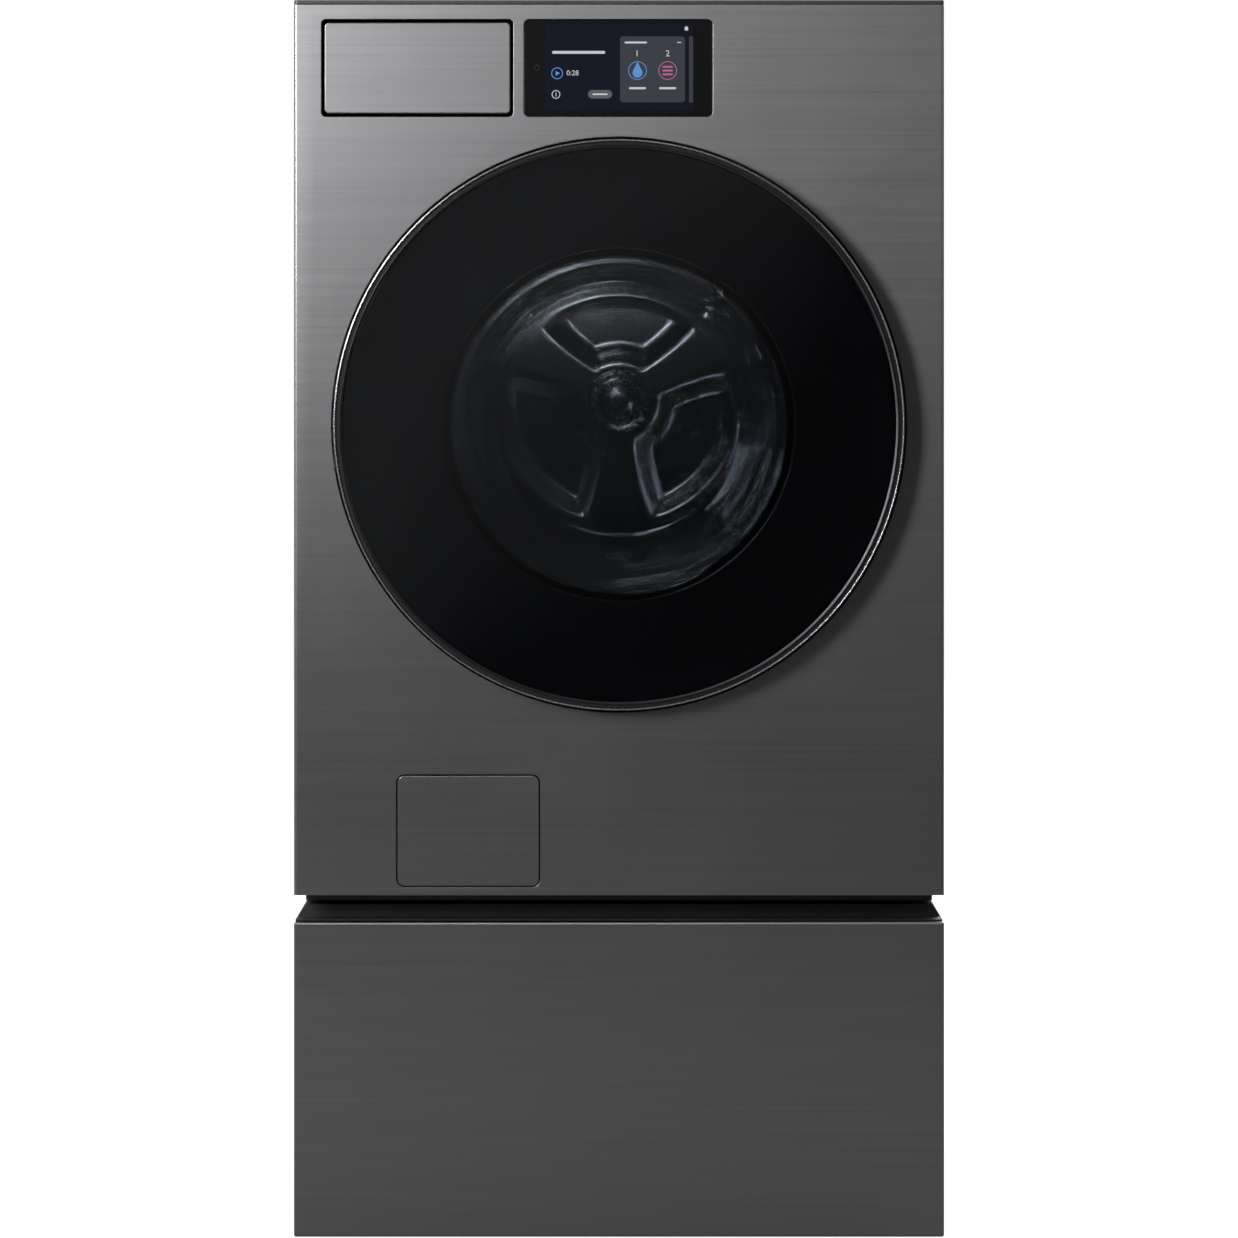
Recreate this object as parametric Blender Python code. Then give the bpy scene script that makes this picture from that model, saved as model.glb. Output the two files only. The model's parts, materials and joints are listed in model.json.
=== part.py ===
"""Front-loading washing machine standing on a matching drawer pedestal.

Metres, +Z up. The front faces -Y and +X is the right-hand side seen from the front. The origin is
on the floor, under the middle of the whole box. Run with: blender --background --python part.py
"""

import math

import bmesh
import bpy
from mathutils import Matrix, Vector

# Overall sizes
WIDTH = 0.686
CABINET_DEPTH = 0.748  # front panel's face to the rear edge of the side panels
DOOR_PROUD = 0.025  # how far the door's glass stands in front of the panel
REAR_PORT = 0.022  # how far the water inlets stand out behind
FOOT_SHOW = 0.015  # floor to the lower edge of the drawer front
DRAWER_HEIGHT = 0.3322
RECESS_HEIGHT = 0.0285  # dark gap between the drawer front and the machine's panel
PANEL_HEIGHT = 0.9391
TOP_THICKNESS = 0.0052

# Sheet metal and clearances
SHEET = 0.0015
FOLD = 0.02  # width of a folded edge
CORNER = 0.004  # bend radius of the front panel's vertical edges
TOUCH = 0.0003  # gap between pieces that rest on each other
SLIDE = 0.0006  # gap between neighbouring sheets

# Door
DOOR_R = 0.300
DOOR_GAP = 0.003
DOOR_RISE = 0.4963  # lower edge of the panel to the door's centre
SEAT_DEPTH = 0.012  # depth of the round dish that the door closes into
SEAT_WIDTH = 0.078  # dish round the panel's opening, from the door's rim to the mouth
MOUTH_LIP = 0.012
TRIM_WIDTH = 0.0095
FRAME_FRONT = 0.0182  # front of the door's frame, measured out from the panel
FRAME_BACK = 0.0025  # back of the frame, measured into the dish
BOWL_CLEAR = 0.0275  # mouth to the bowl's flange
FLANGE_SEAT = 0.0085  # flange's overlap on the frame
BOWL_NECK = 0.0147  # frame's opening to the bowl's wall
BOWL_TAPER = 0.016
BOWL_DEPTH = 0.150
BOWL_WALL = 0.004
HINGE_IN = 0.008  # hinge axis, inside the door's left edge
HINGE_OUT = 0.012  # hinge axis, in front of the panel
KNUCKLE_R = 0.0042
KNUCKLE_HALF = 0.034
LUG_HALF = 0.044
HOOK_IN = 0.0355  # middle of the latch hook, inside the door's right edge
HOOK_SLOT_HALF = 0.0115
HOOK_SLOT_RISE = 0.018
PIN_R = 0.0022
HINGE_NOTCH = 0.047  # hinge axis to the right end of the room cut for the hinge
HINGE_DEEP = 0.0046  # hinge axis to the front of that room
LUG_THICK = 0.008
LUG_REACH = 0.026  # hinge axis to the end of the lugs
BRACKET_THICK = 0.003
BRACKET_WIDTH = 0.032
LEAF = 0.002
GLASS_EDGE = 0.0042  # glass's face to its rim, where it curves back
TRIM_BEVEL = 0.0038
FRAME_STEP = 0.0075  # panel's face to the frame's inner step
RING_THICK = 0.004
HOOK_HALF = 0.004
HOOK_LENGTH = 0.026
HOOK_NOSE = 0.018  # root of the hook to its nose
HOOK_RISE = 0.010
LOCK_DEEP = 0.040
LOCK_RIM = 0.004
LOCK_TALL = 0.027

# Gasket, measured back from the dish and out from its mouth
LIP_OUT = 0.0035
BELLOWS_START = 0.018
BELLOWS_TOP = (0.028, 0.038)
BELLOWS_END = 0.046
BELLOWS_RISE = 0.017
CUFF_RISE = 0.003
RUBBER_WALL = 0.010
GASKET_LIP = 0.024

# Tub and drum
AXIS_RISE = 0.020  # the drum's axis above the door's centre
TUB_SETBACK = 0.080  # front panel's face to the tub
TUB_GAP = 0.016  # drum to tub, all round
TUB_WALL = 0.006
TUB_LENGTH = 0.5275
TUB_SPLIT = 0.2525  # front half's length
FLANGE = 0.010
DRUM_R = 0.268
DRUM_WALL = 0.0012
DRUM_MOUTH_LIP = 0.017  # panel's opening to the drum's smaller mouth
DRUM_END_GAP = 0.014
DRUM_LENGTH = 0.4635
SHAFT_R = 0.010
BEARING_R = 0.045
BEARING_OUT = 0.030
LIFTER_CLEAR = 0.047  # lifters' tips to the bowl
LIFTER_WIDTH = 0.060
LIFTERS = 3
WEIGHT_CLEAR = 0.026  # panel's opening to the weight
WEIGHT_WIDTH = 0.040
WEIGHT_THICK = 0.034
ROTOR_R = 0.135
ROTOR_WALL = 0.006
ROTOR_BACK = 0.004
STATOR_R = 0.120
STATOR_LENGTH = 0.026
SPIDER_SETBACK = 0.018  # tub's back to the spider's arms
SPIDER_ARM = 0.022  # half of an arm's width
SHAFT_OUT = 0.022
DRUM_BEND = 0.008
DRUM_CROWN = 0.030  # width of the swaged rim round the drum's mouth
DRUM_DISH = 0.006

# Control strip
STRIP_DROP = 0.0153  # upper edge of the panel to the upper edge of the strip's openings
STRIP_HEIGHT = 0.1028
DISPENSER_X = (-0.314, -0.1115)
DISPENSER_FRONT_GAP = 0.0035
DISPENSER_FRONT_THICK = 0.018
DISPENSER_CORNER = 0.005
TRAY_DEPTH = 0.280
TRAY_HEIGHT = 0.057
TRAY_WALL = 0.0025
TRAY_CELLS = 3
HOUSING_WALL = 0.003
DISPLAY_X = (-0.1004, 0.0989)
DISPLAY_CORNER = 0.006

# Filter flap and pump
FLAP_X = (-0.235, -0.083)
FLAP_RISE = 0.0083
FLAP_HEIGHT = 0.119
FLAP_GAP = 0.0015
FLAP_CORNER = 0.009
FLAP_THICK = 0.003
FILTER_R = 0.028
PUMP_R = 0.042
PUMP_LENGTH = 0.153
PUMP_LIFT = 0.003  # base floor to the pump
PUMP_NECK = 0.025  # pump's face to the end of the filter's seat
PUMP_STEP = (0.090, 0.095)  # where the body widens to the motor
CAP_THICK = 0.020
GRIP_HALF = 0.004
GRIP_OUT = 0.034
HOSE_R = 0.022
HOSE_WALL = 0.0044
HOSE_CLEAR = 0.002
PIPE_R = 0.014

# Rear services
SERVICE_R = 0.200
VALVE_X = 0.210
VALVE_PITCH = 0.060
VALVE_DROP = 0.0698  # upper edge of the panel to the middle of the rear inlets
VALVE_HALF = (0.055, 0.035)  # half of the valve's width and height
VALVE_DEEP = 0.050
VALVE_CLEAR = 0.004
INLET_R = 0.013
POWER_X = -0.250
POWER_SIZE = 0.040
POWER_DEEP = 0.030
POWER_OUT = 0.006

# Base, feet and pedestal
BASE_INSET = 0.009
BASE_SETBACK = 0.045
BASE_GAP = 0.0033  # pedestal's top to the base skirt
BASE_TOP_RISE = 0.019  # lower edge of the panel to the base floor's upper face
BASE_FLOOR = 0.005
BASE_SKIRT = 0.004
FOOT_R = 0.022
FOOT_STEM_R = 0.006
FOOT_INSET = 0.060
PEDESTAL_CLEAR = 0.020  # floor to the pedestal's underside
LEDGE_SETBACK = 0.021
STEP_HEIGHT = 0.013  # the pedestal's raised top above its ledge
DRAWER_THICK = 0.018
DRAWER_LIP = 0.007  # thickness of the drawer front above its finger groove
GROOVE_DEPTH = 0.030
DRAWER_EDGE = 0.002
DRAWER_BOX_DEPTH = 0.600
DRAWER_BOX_HEIGHT = 0.205
DRAWER_BOX_RISE = 0.045
DRAWER_WALL = 0.0012
RAIL_WIDTH = 0.012
RAIL_HEIGHT = 0.040
RAIL_LENGTH = 0.500
RAIL_GAP = 0.003

# Suspension
DAMPER_X = 0.200
DAMPER_Y = -0.050
DAMPER_R = 0.017
DAMPER_BORE = 0.011
DAMPER_ROD_R = 0.0085
DAMPER_LENGTH = 0.135
SPRING_X = 0.250
SPRING_Y = 0.030
SPRING_R = 0.014
SPRING_LENGTH = 0.225

# Smoothness of the round pieces
WIDE = 64
MEDIUM = 48
SMALL = 16

# Planes and centres that follow from the sizes above
FRONT = (DOOR_PROUD - CABINET_DEPTH - REAR_PORT) / 2
BACK = FRONT + CABINET_DEPTH
SIDE = WIDTH / 2
DRAWER_TOP = FOOT_SHOW + DRAWER_HEIGHT
PEDESTAL_TOP = DRAWER_TOP + STEP_HEIGHT
PANEL_BOTTOM = DRAWER_TOP + RECESS_HEIGHT
PANEL_TOP = PANEL_BOTTOM + PANEL_HEIGHT
BASE_TOP = PANEL_BOTTOM + BASE_TOP_RISE
DOOR_Z = PANEL_BOTTOM + DOOR_RISE
AXIS_Z = DOOR_Z + AXIS_RISE
STRIP_Z = (PANEL_TOP - STRIP_DROP - STRIP_HEIGHT, PANEL_TOP - STRIP_DROP)
FLAP_Z = (PANEL_BOTTOM + FLAP_RISE, PANEL_BOTTOM + FLAP_RISE + FLAP_HEIGHT)
FLAP_MIDDLE = (FLAP_X[0] + FLAP_X[1]) / 2
PUMP_Z = BASE_TOP + PUMP_LIFT + PUMP_R
VALVE_Z = PANEL_TOP - VALVE_DROP
HOOK_X = DOOR_R - HOOK_IN
MOUTH_R = DOOR_R - SEAT_WIDTH
BOWL_FLANGE_R = MOUTH_R - BOWL_CLEAR
FRAME_R = BOWL_FLANGE_R - FLANGE_SEAT
BOWL_R = FRAME_R - BOWL_NECK
BOWL_END_R = BOWL_R - BOWL_TAPER
DRUM_MOUTH_R = MOUTH_R - DRUM_MOUTH_LIP
WEIGHT_R = MOUTH_R + WEIGHT_CLEAR
LIFTER_HEIGHT = DRUM_R - BOWL_R - LIFTER_CLEAR
TUB_R = DRUM_R + TUB_GAP + TUB_WALL
TUB_FRONT = FRONT + TUB_SETBACK
TUB_MIDDLE = TUB_FRONT + TUB_SPLIT
TUB_BACK = TUB_FRONT + TUB_LENGTH
DRUM_FRONT = TUB_FRONT + DRUM_END_GAP
DRUM_BACK = DRUM_FRONT + DRUM_LENGTH
HINGE = (HINGE_IN - DOOR_R, FRONT - HINGE_OUT, DOOR_Z)
DRUM_CENTRE = (0, 0, AXIS_Z)
REAR_SKIN = BACK - SHEET - SLIDE  # outer face of the rear panel
SEAT_FLOOR = FRONT + SEAT_DEPTH


def clear_scene():
    for obj in list(bpy.data.objects):
        bpy.data.objects.remove(obj, do_unlink=True)


def finish_material(name, colour, roughness, metallic):
    """One Principled material for one sub-part."""
    material = bpy.data.materials.new(name)
    material.use_nodes = True
    shader = material.node_tree.nodes["Principled BSDF"]
    shader.inputs["Base Color"].default_value = (*colour, 1)
    shader.inputs["Roughness"].default_value = roughness
    shader.inputs["Metallic"].default_value = metallic
    material.diffuse_color = (*colour, 1)
    return material


STEEL = ((0.15, 0.15, 0.155), 0.38, 1.0)
BLACK_PAINT = ((0.02, 0.02, 0.022), 0.5, 0.0)
DARK_PLASTIC = ((0.035, 0.035, 0.037), 0.45, 0.0)
GREY_PLASTIC = ((0.55, 0.56, 0.57), 0.5, 0.0)
ZINC = ((0.5, 0.5, 0.5), 0.4, 1.0)
BRIGHT = ((0.75, 0.75, 0.76), 0.2, 1.0)
RUBBER = ((0.06, 0.06, 0.065), 0.8, 0.0)
GLASS = ((0.01, 0.012, 0.016), 0.05, 0.0)
CONCRETE = ((0.4, 0.39, 0.38), 0.9, 0.0)
COPPER = ((0.6, 0.3, 0.12), 0.4, 1.0)


def node(name, bm, finish, origin=(0, 0, 0), smooth=True):
    """Make a named object from a closed bmesh in world coordinates, with its origin on its pivot."""
    bmesh.ops.remove_doubles(bm, verts=bm.verts, dist=1e-6)
    bmesh.ops.recalc_face_normals(bm, faces=bm.faces)
    bmesh.ops.translate(bm, verts=bm.verts, vec=-Vector(origin))
    mesh = bpy.data.meshes.new(name)
    bm.to_mesh(mesh)
    bm.free()
    if smooth:
        mesh.shade_smooth()
        mesh.set_sharp_from_angle(angle=math.radians(35))
    mesh.materials.append(finish_material(name, *finish))
    obj = bpy.data.objects.new(name, mesh)
    obj.location = origin
    bpy.context.scene.collection.objects.link(obj)
    return obj


def helper(name, bm):
    """A shape that only cuts or joins another."""
    obj = node(name, bm, BLACK_PAINT, smooth=False)
    obj.hide_render = True
    obj.display_type = "WIRE"
    return obj


def boolean(obj, other, operation, solver="EXACT"):
    modifier = obj.modifiers.new(f"{operation.lower()}_{other.name}", "BOOLEAN")
    modifier.operation = operation
    modifier.solver = solver
    modifier.object = other


def cut(obj, *cutters, solver="EXACT"):
    for bm in cutters:
        cutter = helper(f"{obj.name}_cutter_{len(obj.modifiers)}", bm)
        boolean(obj, cutter, "DIFFERENCE", solver)


def join(obj, *others):
    for bm in others:
        boolean(obj, helper(f"{obj.name}_joined_{len(obj.modifiers)}", bm), "UNION")


def box(x, y, z):
    """A block between the two values of each axis."""
    bm = bmesh.new()
    place = Matrix.Translation([(low + high) / 2 for low, high in (x, y, z)])
    size = Matrix.Diagonal([high - low for low, high in (x, y, z)] + [1])
    bmesh.ops.create_cube(bm, size=1, matrix=place @ size)
    return bm


def prism(outline, low, high, axis):
    """Extrude an outline along X, Y or Z. Its points are the other two coordinates, in axis order."""
    bm = bmesh.new()
    place = {
        "X": lambda a, b, h: (h, a, b),
        "Y": lambda a, b, h: (a, h, b),
        "Z": lambda a, b, h: (a, b, h),
    }[axis]
    face = bm.faces.new([bm.verts.new(place(a, b, low)) for a, b in outline])
    grown = bmesh.ops.extrude_face_region(bm, geom=[face])["geom"]
    verts = [item for item in grown if isinstance(item, bmesh.types.BMVert)]
    bmesh.ops.translate(bm, verts=verts, vec=place(0, 0, high - low))
    return bm


def rounded(x, z, radius, steps=5):
    """Outline of a rectangle with round corners, anticlockwise from the lower right."""
    corners = ((x[1], z[0], -90), (x[1], z[1], 0), (x[0], z[1], 90), (x[0], z[0], 180))
    points = []
    for cx, cz, start in corners:
        mx = cx - math.copysign(radius, cx - sum(x) / 2)
        mz = cz - math.copysign(radius, cz - sum(z) / 2)
        for step in range(steps + 1):
            angle = math.radians(start + 90 * step / steps)
            points.append((mx + radius * math.cos(angle), mz + radius * math.sin(angle)))
    return points


def turned(profile, centre, axis="Y", segments=WIDE, arc=(0, 360), lean=(0, 0, 1)):
    """Turn a closed profile of (radius, height) round an axis through the centre.

    With arc it makes a sector. Lean leads from a parallel axis to this one: it holds the other
    axis's offset in Z, the height where its stretch ends, and the height where this one's begins.
    """
    bm = bmesh.new()
    whole = arc[1] - arc[0] == 360
    count = segments if whole else segments + 1
    offset, lean_start, lean_end = lean
    rings = []
    for step in range(count):
        angle = math.radians(arc[0] + (arc[1] - arc[0]) * step / segments)
        ring = []
        for radius, height in profile:
            across, up = radius * math.cos(angle), radius * math.sin(angle)
            if axis == "Y":
                along = (lean_end - height) / (lean_end - lean_start)
                shift = offset * min(max(along, 0), 1)
                point = (centre[0] + across, height, centre[2] + up + shift)
            else:
                point = (centre[0] + across, centre[1] + up, height)
            ring.append(bm.verts.new(point))
        rings.append(ring)
    sides = len(profile)
    for step in range(segments):
        near, far = rings[step], rings[(step + 1) % count]
        for k in range(sides):
            m = (k + 1) % sides
            if profile[k][0] == 0 and profile[m][0] == 0:
                continue
            bm.faces.new((near[k], near[m], far[m], far[k]))
    if not whole:
        bm.faces.new(rings[0])
        bm.faces.new(rings[-1])
    bmesh.ops.remove_doubles(bm, verts=bm.verts, dist=1e-6)
    return bm


def rod(radius, low, high, centre, axis="Y", segments=SMALL):
    """A plain round bar."""
    return turned([(0, low), (radius, low), (radius, high), (0, high)], centre, axis, segments)


def tube(radius, bore, low, high, centre, axis="Y", segments=SMALL):
    """A round bar with a hole through it."""
    return turned([(bore, low), (radius, low), (radius, high), (bore, high)], centre, axis, segments)


def inset(pair, amount):
    return (pair[0] + amount, pair[1] - amount)


def front_panel():
    """Folded sheet with a round dish for the door and openings for the controls and the flap."""
    outer = [(-SIDE, FRONT + FOLD)]
    inner = [(-SIDE + SHEET, FRONT + FOLD)]
    for turn, mx in ((180, CORNER - SIDE), (270, SIDE - CORNER)):
        for step in range(5):
            angle = math.radians(turn + 90 * step / 4)
            across, along = math.cos(angle), math.sin(angle)
            outer.append((mx + CORNER * across, FRONT + CORNER + CORNER * along))
            bend = CORNER - SHEET
            inner.append((mx + bend * across, FRONT + CORNER + bend * along))
    outer.append((SIDE, FRONT + FOLD))
    inner.append((SIDE - SHEET, FRONT + FOLD))
    panel = prism(outer + inner[::-1], PANEL_BOTTOM, PANEL_TOP, "Z")
    obj = node("front_panel", panel, STEEL)
    through = (FRONT - FOLD / 2, FRONT + FOLD / 2)
    cut(
        obj,
        prism(rounded(DISPENSER_X, STRIP_Z, DISPENSER_CORNER), *through, "Y"),
        prism(rounded(DISPLAY_X, STRIP_Z, DISPLAY_CORNER), *through, "Y"),
        prism(rounded(FLAP_X, FLAP_Z, FLAP_CORNER), *through, "Y"),
        rod(DOOR_R + DOOR_GAP + SHEET, *through, (0, 0, DOOR_Z), segments=WIDE),
    )
    wall = DOOR_R + DOOR_GAP
    dish = [
        (wall, FRONT + TOUCH),
        (wall + 2 * SHEET, FRONT + TOUCH),
        (wall + 2 * SHEET, SEAT_FLOOR + SHEET),
        (MOUTH_R + SHEET, SEAT_FLOOR + SHEET),
        (MOUTH_R + SHEET, SEAT_FLOOR + MOUTH_LIP),
        (MOUTH_R, SEAT_FLOOR + MOUTH_LIP),
        (MOUTH_R, SEAT_FLOOR),
        (wall, SEAT_FLOOR),
    ]
    join(obj, turned(dish, (0, 0, DOOR_Z)))
    slot = box(
        (HOOK_X - HOOK_SLOT_HALF, HOOK_X + HOOK_SLOT_HALF),
        (SEAT_FLOOR - SHEET, SEAT_FLOOR + 2 * SHEET),
        (DOOR_Z - HOOK_SLOT_RISE, DOOR_Z + HOOK_SLOT_RISE),
    )
    cut(obj, slot)


def side_panels():
    """Two channels with their edges folded inwards."""
    for side, name in ((-1, "left"), (1, "right")):
        skin = SIDE - SHEET
        near, far = FRONT + FOLD + SLIDE, BACK
        outline = [
            (side * SIDE, near),
            (side * SIDE, far),
            (side * (SIDE - FOLD), far),
            (side * (SIDE - FOLD), far - SHEET),
            (side * skin, far - SHEET),
            (side * skin, near + SHEET),
            (side * (SIDE - FOLD), near + SHEET),
            (side * (SIDE - FOLD), near),
        ]
        node(f"side_panel_{name}", prism(outline, PANEL_BOTTOM, PANEL_TOP, "Z"), STEEL)


def rear_panel():
    """Flat sheet between the side panels, with a round service opening over the motor."""
    span = inset((-SIDE, SIDE), SHEET + SLIDE)
    sheet = box(span, (REAR_SKIN - SHEET, REAR_SKIN), (PANEL_BOTTOM, PANEL_TOP))
    obj = node("rear_panel", sheet, ZINC)
    through = (REAR_SKIN - FOLD, REAR_SKIN + FOLD)
    ports = [(SERVICE_R, 0, AXIS_Z, WIDE), (PIPE_R + 2 * SHEET, FLAP_MIDDLE, PUMP_Z, SMALL)]
    ports += [(INLET_R + 2 * SHEET, x, VALVE_Z, SMALL) for x in (VALVE_X, VALVE_X + VALVE_PITCH)]
    holes = [rod(r, *through, (x, 0, z), segments=count) for r, x, z, count in ports]
    half = (POWER_SIZE + 2 * SHEET) / 2
    holes += [box((POWER_X - half, POWER_X + half), through, (VALVE_Z - half, VALVE_Z + half))]
    cut(obj, *holes, solver="MANIFOLD")
    reach = SERVICE_R + FOLD
    cover = rounded((-reach, reach), (AXIS_Z - reach, AXIS_Z + reach), FOLD)
    plate = prism(cover, REAR_SKIN + TOUCH, REAR_SKIN + TOUCH + SHEET, "Y")
    node("service_cover", plate, ZINC)


def top_cover():
    """Shallow folded lid with round corners."""
    outline = rounded((-SIDE, SIDE), (FRONT, BACK), CORNER)
    bottom, top = PANEL_TOP + TOUCH, PANEL_TOP + TOP_THICKNESS
    lid = node("top_cover", prism(outline, bottom, top, "Z"), STEEL)
    hollow = [inset(pair, 2 * CORNER) for pair in ((-SIDE, SIDE), (FRONT, BACK))]
    cut(lid, box(*hollow, (bottom - FOLD, top - SHEET)))


def base_frame():
    """Upturned tray that carries the machine, with its skirt round the feet."""
    across, along = inset((-SIDE, SIDE), BASE_INSET), (FRONT + BASE_SETBACK, BACK - BASE_INSET)
    obj = node("base_frame", box(across, along, (PEDESTAL_TOP + BASE_GAP, BASE_TOP)), BLACK_PAINT)
    under = (PEDESTAL_TOP - BASE_GAP, BASE_TOP - BASE_FLOOR)
    cut(obj, box(inset(across, BASE_SKIRT), inset(along, BASE_SKIRT), under))


def foot(name, x, y, bottom, top, pad):
    """Levelling foot: a rubber-faced pad on a threaded stem."""
    profile = [
        (0, bottom),
        (FOOT_R, bottom),
        (FOOT_R, bottom + pad * 0.7),
        (FOOT_R * 0.8, bottom + pad),
        (FOOT_STEM_R, bottom + pad),
        (FOOT_STEM_R, top),
        (0, top),
    ]
    node(name, turned(profile, (x, y, 0), "Z", SMALL), RUBBER)


def feet():
    for side, across in ((-1, "left"), (1, "right")):
        x = side * (SIDE - FOOT_INSET)
        for y, along in ((FRONT + BASE_SETBACK + FOOT_INSET, "front"), (BACK - FOOT_INSET, "rear")):
            low, high = PEDESTAL_TOP + TOUCH, BASE_TOP - BASE_FLOOR - TOUCH
            foot(f"washer_foot_{along}_{across}", x, y, low, high, (high - low) / 2)
            clear = PEDESTAL_CLEAR - TOUCH
            foot(f"pedestal_foot_{along}_{across}", x, y, 0, clear, clear * 0.6)


def hinge():
    """Fixed bracket with two lugs and a pin, and the arm that turns on it inside the door."""
    x, y, z = HINGE
    floor = SEAT_FLOOR - TOUCH
    plate_x = (x + LEAF, x + LEAF + BRACKET_WIDTH)
    lug = [
        (x - LUG_THICK / 2, y),
        (x, y - LUG_THICK / 2),
        (x + LUG_THICK / 2, y - BRACKET_THICK),
        (x + LUG_REACH, floor - BRACKET_THICK / 3),
        (x + LUG_REACH, floor),
        (x + 2 * BRACKET_THICK, floor),
    ]
    half = LUG_HALF + LEAF
    plate = box(plate_x, (floor - BRACKET_THICK, floor), (z - half, z + half))
    bracket = node("hinge_bracket", plate, ZINC)
    for low in (-LUG_HALF, LUG_HALF - LUG_THICK):
        join(bracket, prism(lug, z + low, z + low + LUG_THICK, "Z"))
    pin_z = inset((z - LUG_HALF, z + LUG_HALF), LEAF)
    join(bracket, rod(PIN_R, *pin_z, (x, y, 0), "Z"))
    reach = (z - KNUCKLE_HALF, z + KNUCKLE_HALF)
    bore = PIN_R + TOUCH
    arm = node("door_hinge_arm", tube(KNUCKLE_R, bore, *reach, (x, y, 0), "Z"), ZINC, HINGE)
    near = y - KNUCKLE_R + TOUCH
    leaf_x = (x + PIN_R * 0.2, x + HINGE_NOTCH - 2 * LEAF)
    join(arm, box(leaf_x, (near, near + LEAF), inset(reach, LEAF)))
    cut(arm, rod(bore, *inset(reach, -FOLD), (x, y, 0), "Z"))


def hinge_notch():
    """Room for the hinge in the back of the door."""
    x, y, z = HINGE
    half = LUG_HALF + LUG_THICK
    deep = (y - HINGE_DEEP, FRONT + 2 * FOLD)
    return box((x - 2 * FOLD, x + HINGE_NOTCH), deep, (z - half, z + half))


def door():
    """Dark glass over a frame, with a metal rim and a clear bowl that reaches into the drum."""
    centre = (0, 0, DOOR_Z)
    face, edge = FRONT - DOOR_PROUD, FRONT - FRAME_FRONT
    glass_r = DOOR_R - TRIM_WIDTH
    glass = [
        (0, face),
        (glass_r * 0.35, face + GLASS_EDGE * 0.05),
        (glass_r * 0.7, face + GLASS_EDGE * 0.3),
        (glass_r * 0.93, face + GLASS_EDGE * 2 / 3),
        (glass_r - TOUCH, face + GLASS_EDGE),
        (glass_r - TOUCH, edge - TOUCH),
        (0, edge - TOUCH),
    ]
    node("door_glass", turned(glass, centre), GLASS, HINGE)
    trim = [
        (glass_r, face + GLASS_EDGE + TOUCH),
        (glass_r + SHEET, face + SHEET),
        (DOOR_R - TRIM_BEVEL, face + SHEET),
        (DOOR_R, face + TRIM_BEVEL),
        (DOOR_R, edge - TOUCH),
        (glass_r, edge - TOUCH),
    ]
    node("door_trim_ring", turned(trim, centre), BRIGHT, HINGE)
    step = FRONT - FRAME_STEP
    frame = [
        (DOOR_R - TOUCH, edge),
        (DOOR_R - TOUCH, FRONT + FRAME_BACK),
        (BOWL_FLANGE_R + TOUCH, FRONT + FRAME_BACK),
        (BOWL_FLANGE_R + TOUCH, step),
        (FRAME_R, step),
        (FRAME_R, edge),
    ]
    cut(node("door_frame", turned(frame, centre), DARK_PLASTIC, HINGE), hinge_notch())
    flange = step + TOUCH
    back = FRONT + BOWL_DEPTH
    bowl = [
        (BOWL_FLANGE_R - TOUCH, flange),
        (BOWL_FLANGE_R - TOUCH, flange + BOWL_WALL),
        (BOWL_R + BOWL_WALL * 4, flange + BOWL_WALL),
        (BOWL_R + BOWL_WALL, FRONT + BOWL_DEPTH * 0.2),
        (BOWL_END_R + BOWL_WALL, back - BOWL_END_R * 0.2),
        (BOWL_END_R * 0.96, back - BOWL_END_R * 0.05),
        (BOWL_END_R * 0.85, back),
        (0, back),
        (0, back - BOWL_WALL),
        (BOWL_END_R * 0.84, back - BOWL_WALL),
        (BOWL_END_R * 0.93, back - BOWL_END_R * 0.05 - BOWL_WALL),
        (BOWL_END_R, back - BOWL_END_R * 0.2 - BOWL_WALL),
        (BOWL_R, FRONT + BOWL_DEPTH * 0.2),
        (BOWL_R + BOWL_WALL * 2.5, flange),
    ]
    node("door_bowl", turned(bowl, centre, segments=MEDIUM), GLASS, HINGE)
    clamp, plate = flange + BOWL_WALL + TOUCH, FRONT + FRAME_BACK + TOUCH
    inner = [
        (BOWL_FLANGE_R * 0.965, clamp),
        (BOWL_FLANGE_R - TOUCH, clamp),
        (BOWL_FLANGE_R - TOUCH, plate),
        (DOOR_R * 0.95, plate),
        (DOOR_R * 0.94, plate + RING_THICK),
        (BOWL_FLANGE_R * 0.965, plate + RING_THICK),
    ]
    obj = node("door_inner_ring", turned(inner, centre, segments=MEDIUM), GREY_PLASTIC, HINGE)
    cut(obj, hinge_notch())
    root = plate + RING_THICK + TOUCH
    tip, nose = root + HOOK_LENGTH, root + HOOK_NOSE
    hook = [
        (root, -HOOK_RISE),
        (tip, -HOOK_RISE * 0.6),
        (tip, HOOK_RISE),
        (nose, HOOK_RISE),
        (nose, HOOK_RISE * 0.2),
        (root, HOOK_RISE),
    ]
    outline = [(y, DOOR_Z + z) for y, z in hook]
    node("door_hook", prism(outline, HOOK_X - HOOK_HALF, HOOK_X + HOOK_HALF, "X"), ZINC, HINGE)


def door_lock():
    """Latch housing behind the panel, with the slot that takes the hook."""
    near = SEAT_FLOOR + SHEET + TOUCH
    across = (HOOK_X - HOOK_SLOT_HALF, HOOK_X + HOOK_SLOT_HALF)
    rise = (DOOR_Z - HOOK_SLOT_RISE, DOOR_Z + HOOK_SLOT_RISE)
    body = box(inset(across, -LOCK_RIM), (near, near + LOCK_DEEP), inset(rise, -LOCK_TALL))
    obj = node("door_lock", body, DARK_PLASTIC)
    cut(obj, box(across, (near - LOCK_DEEP, near + LOCK_DEEP - LOCK_RIM), rise))


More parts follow.
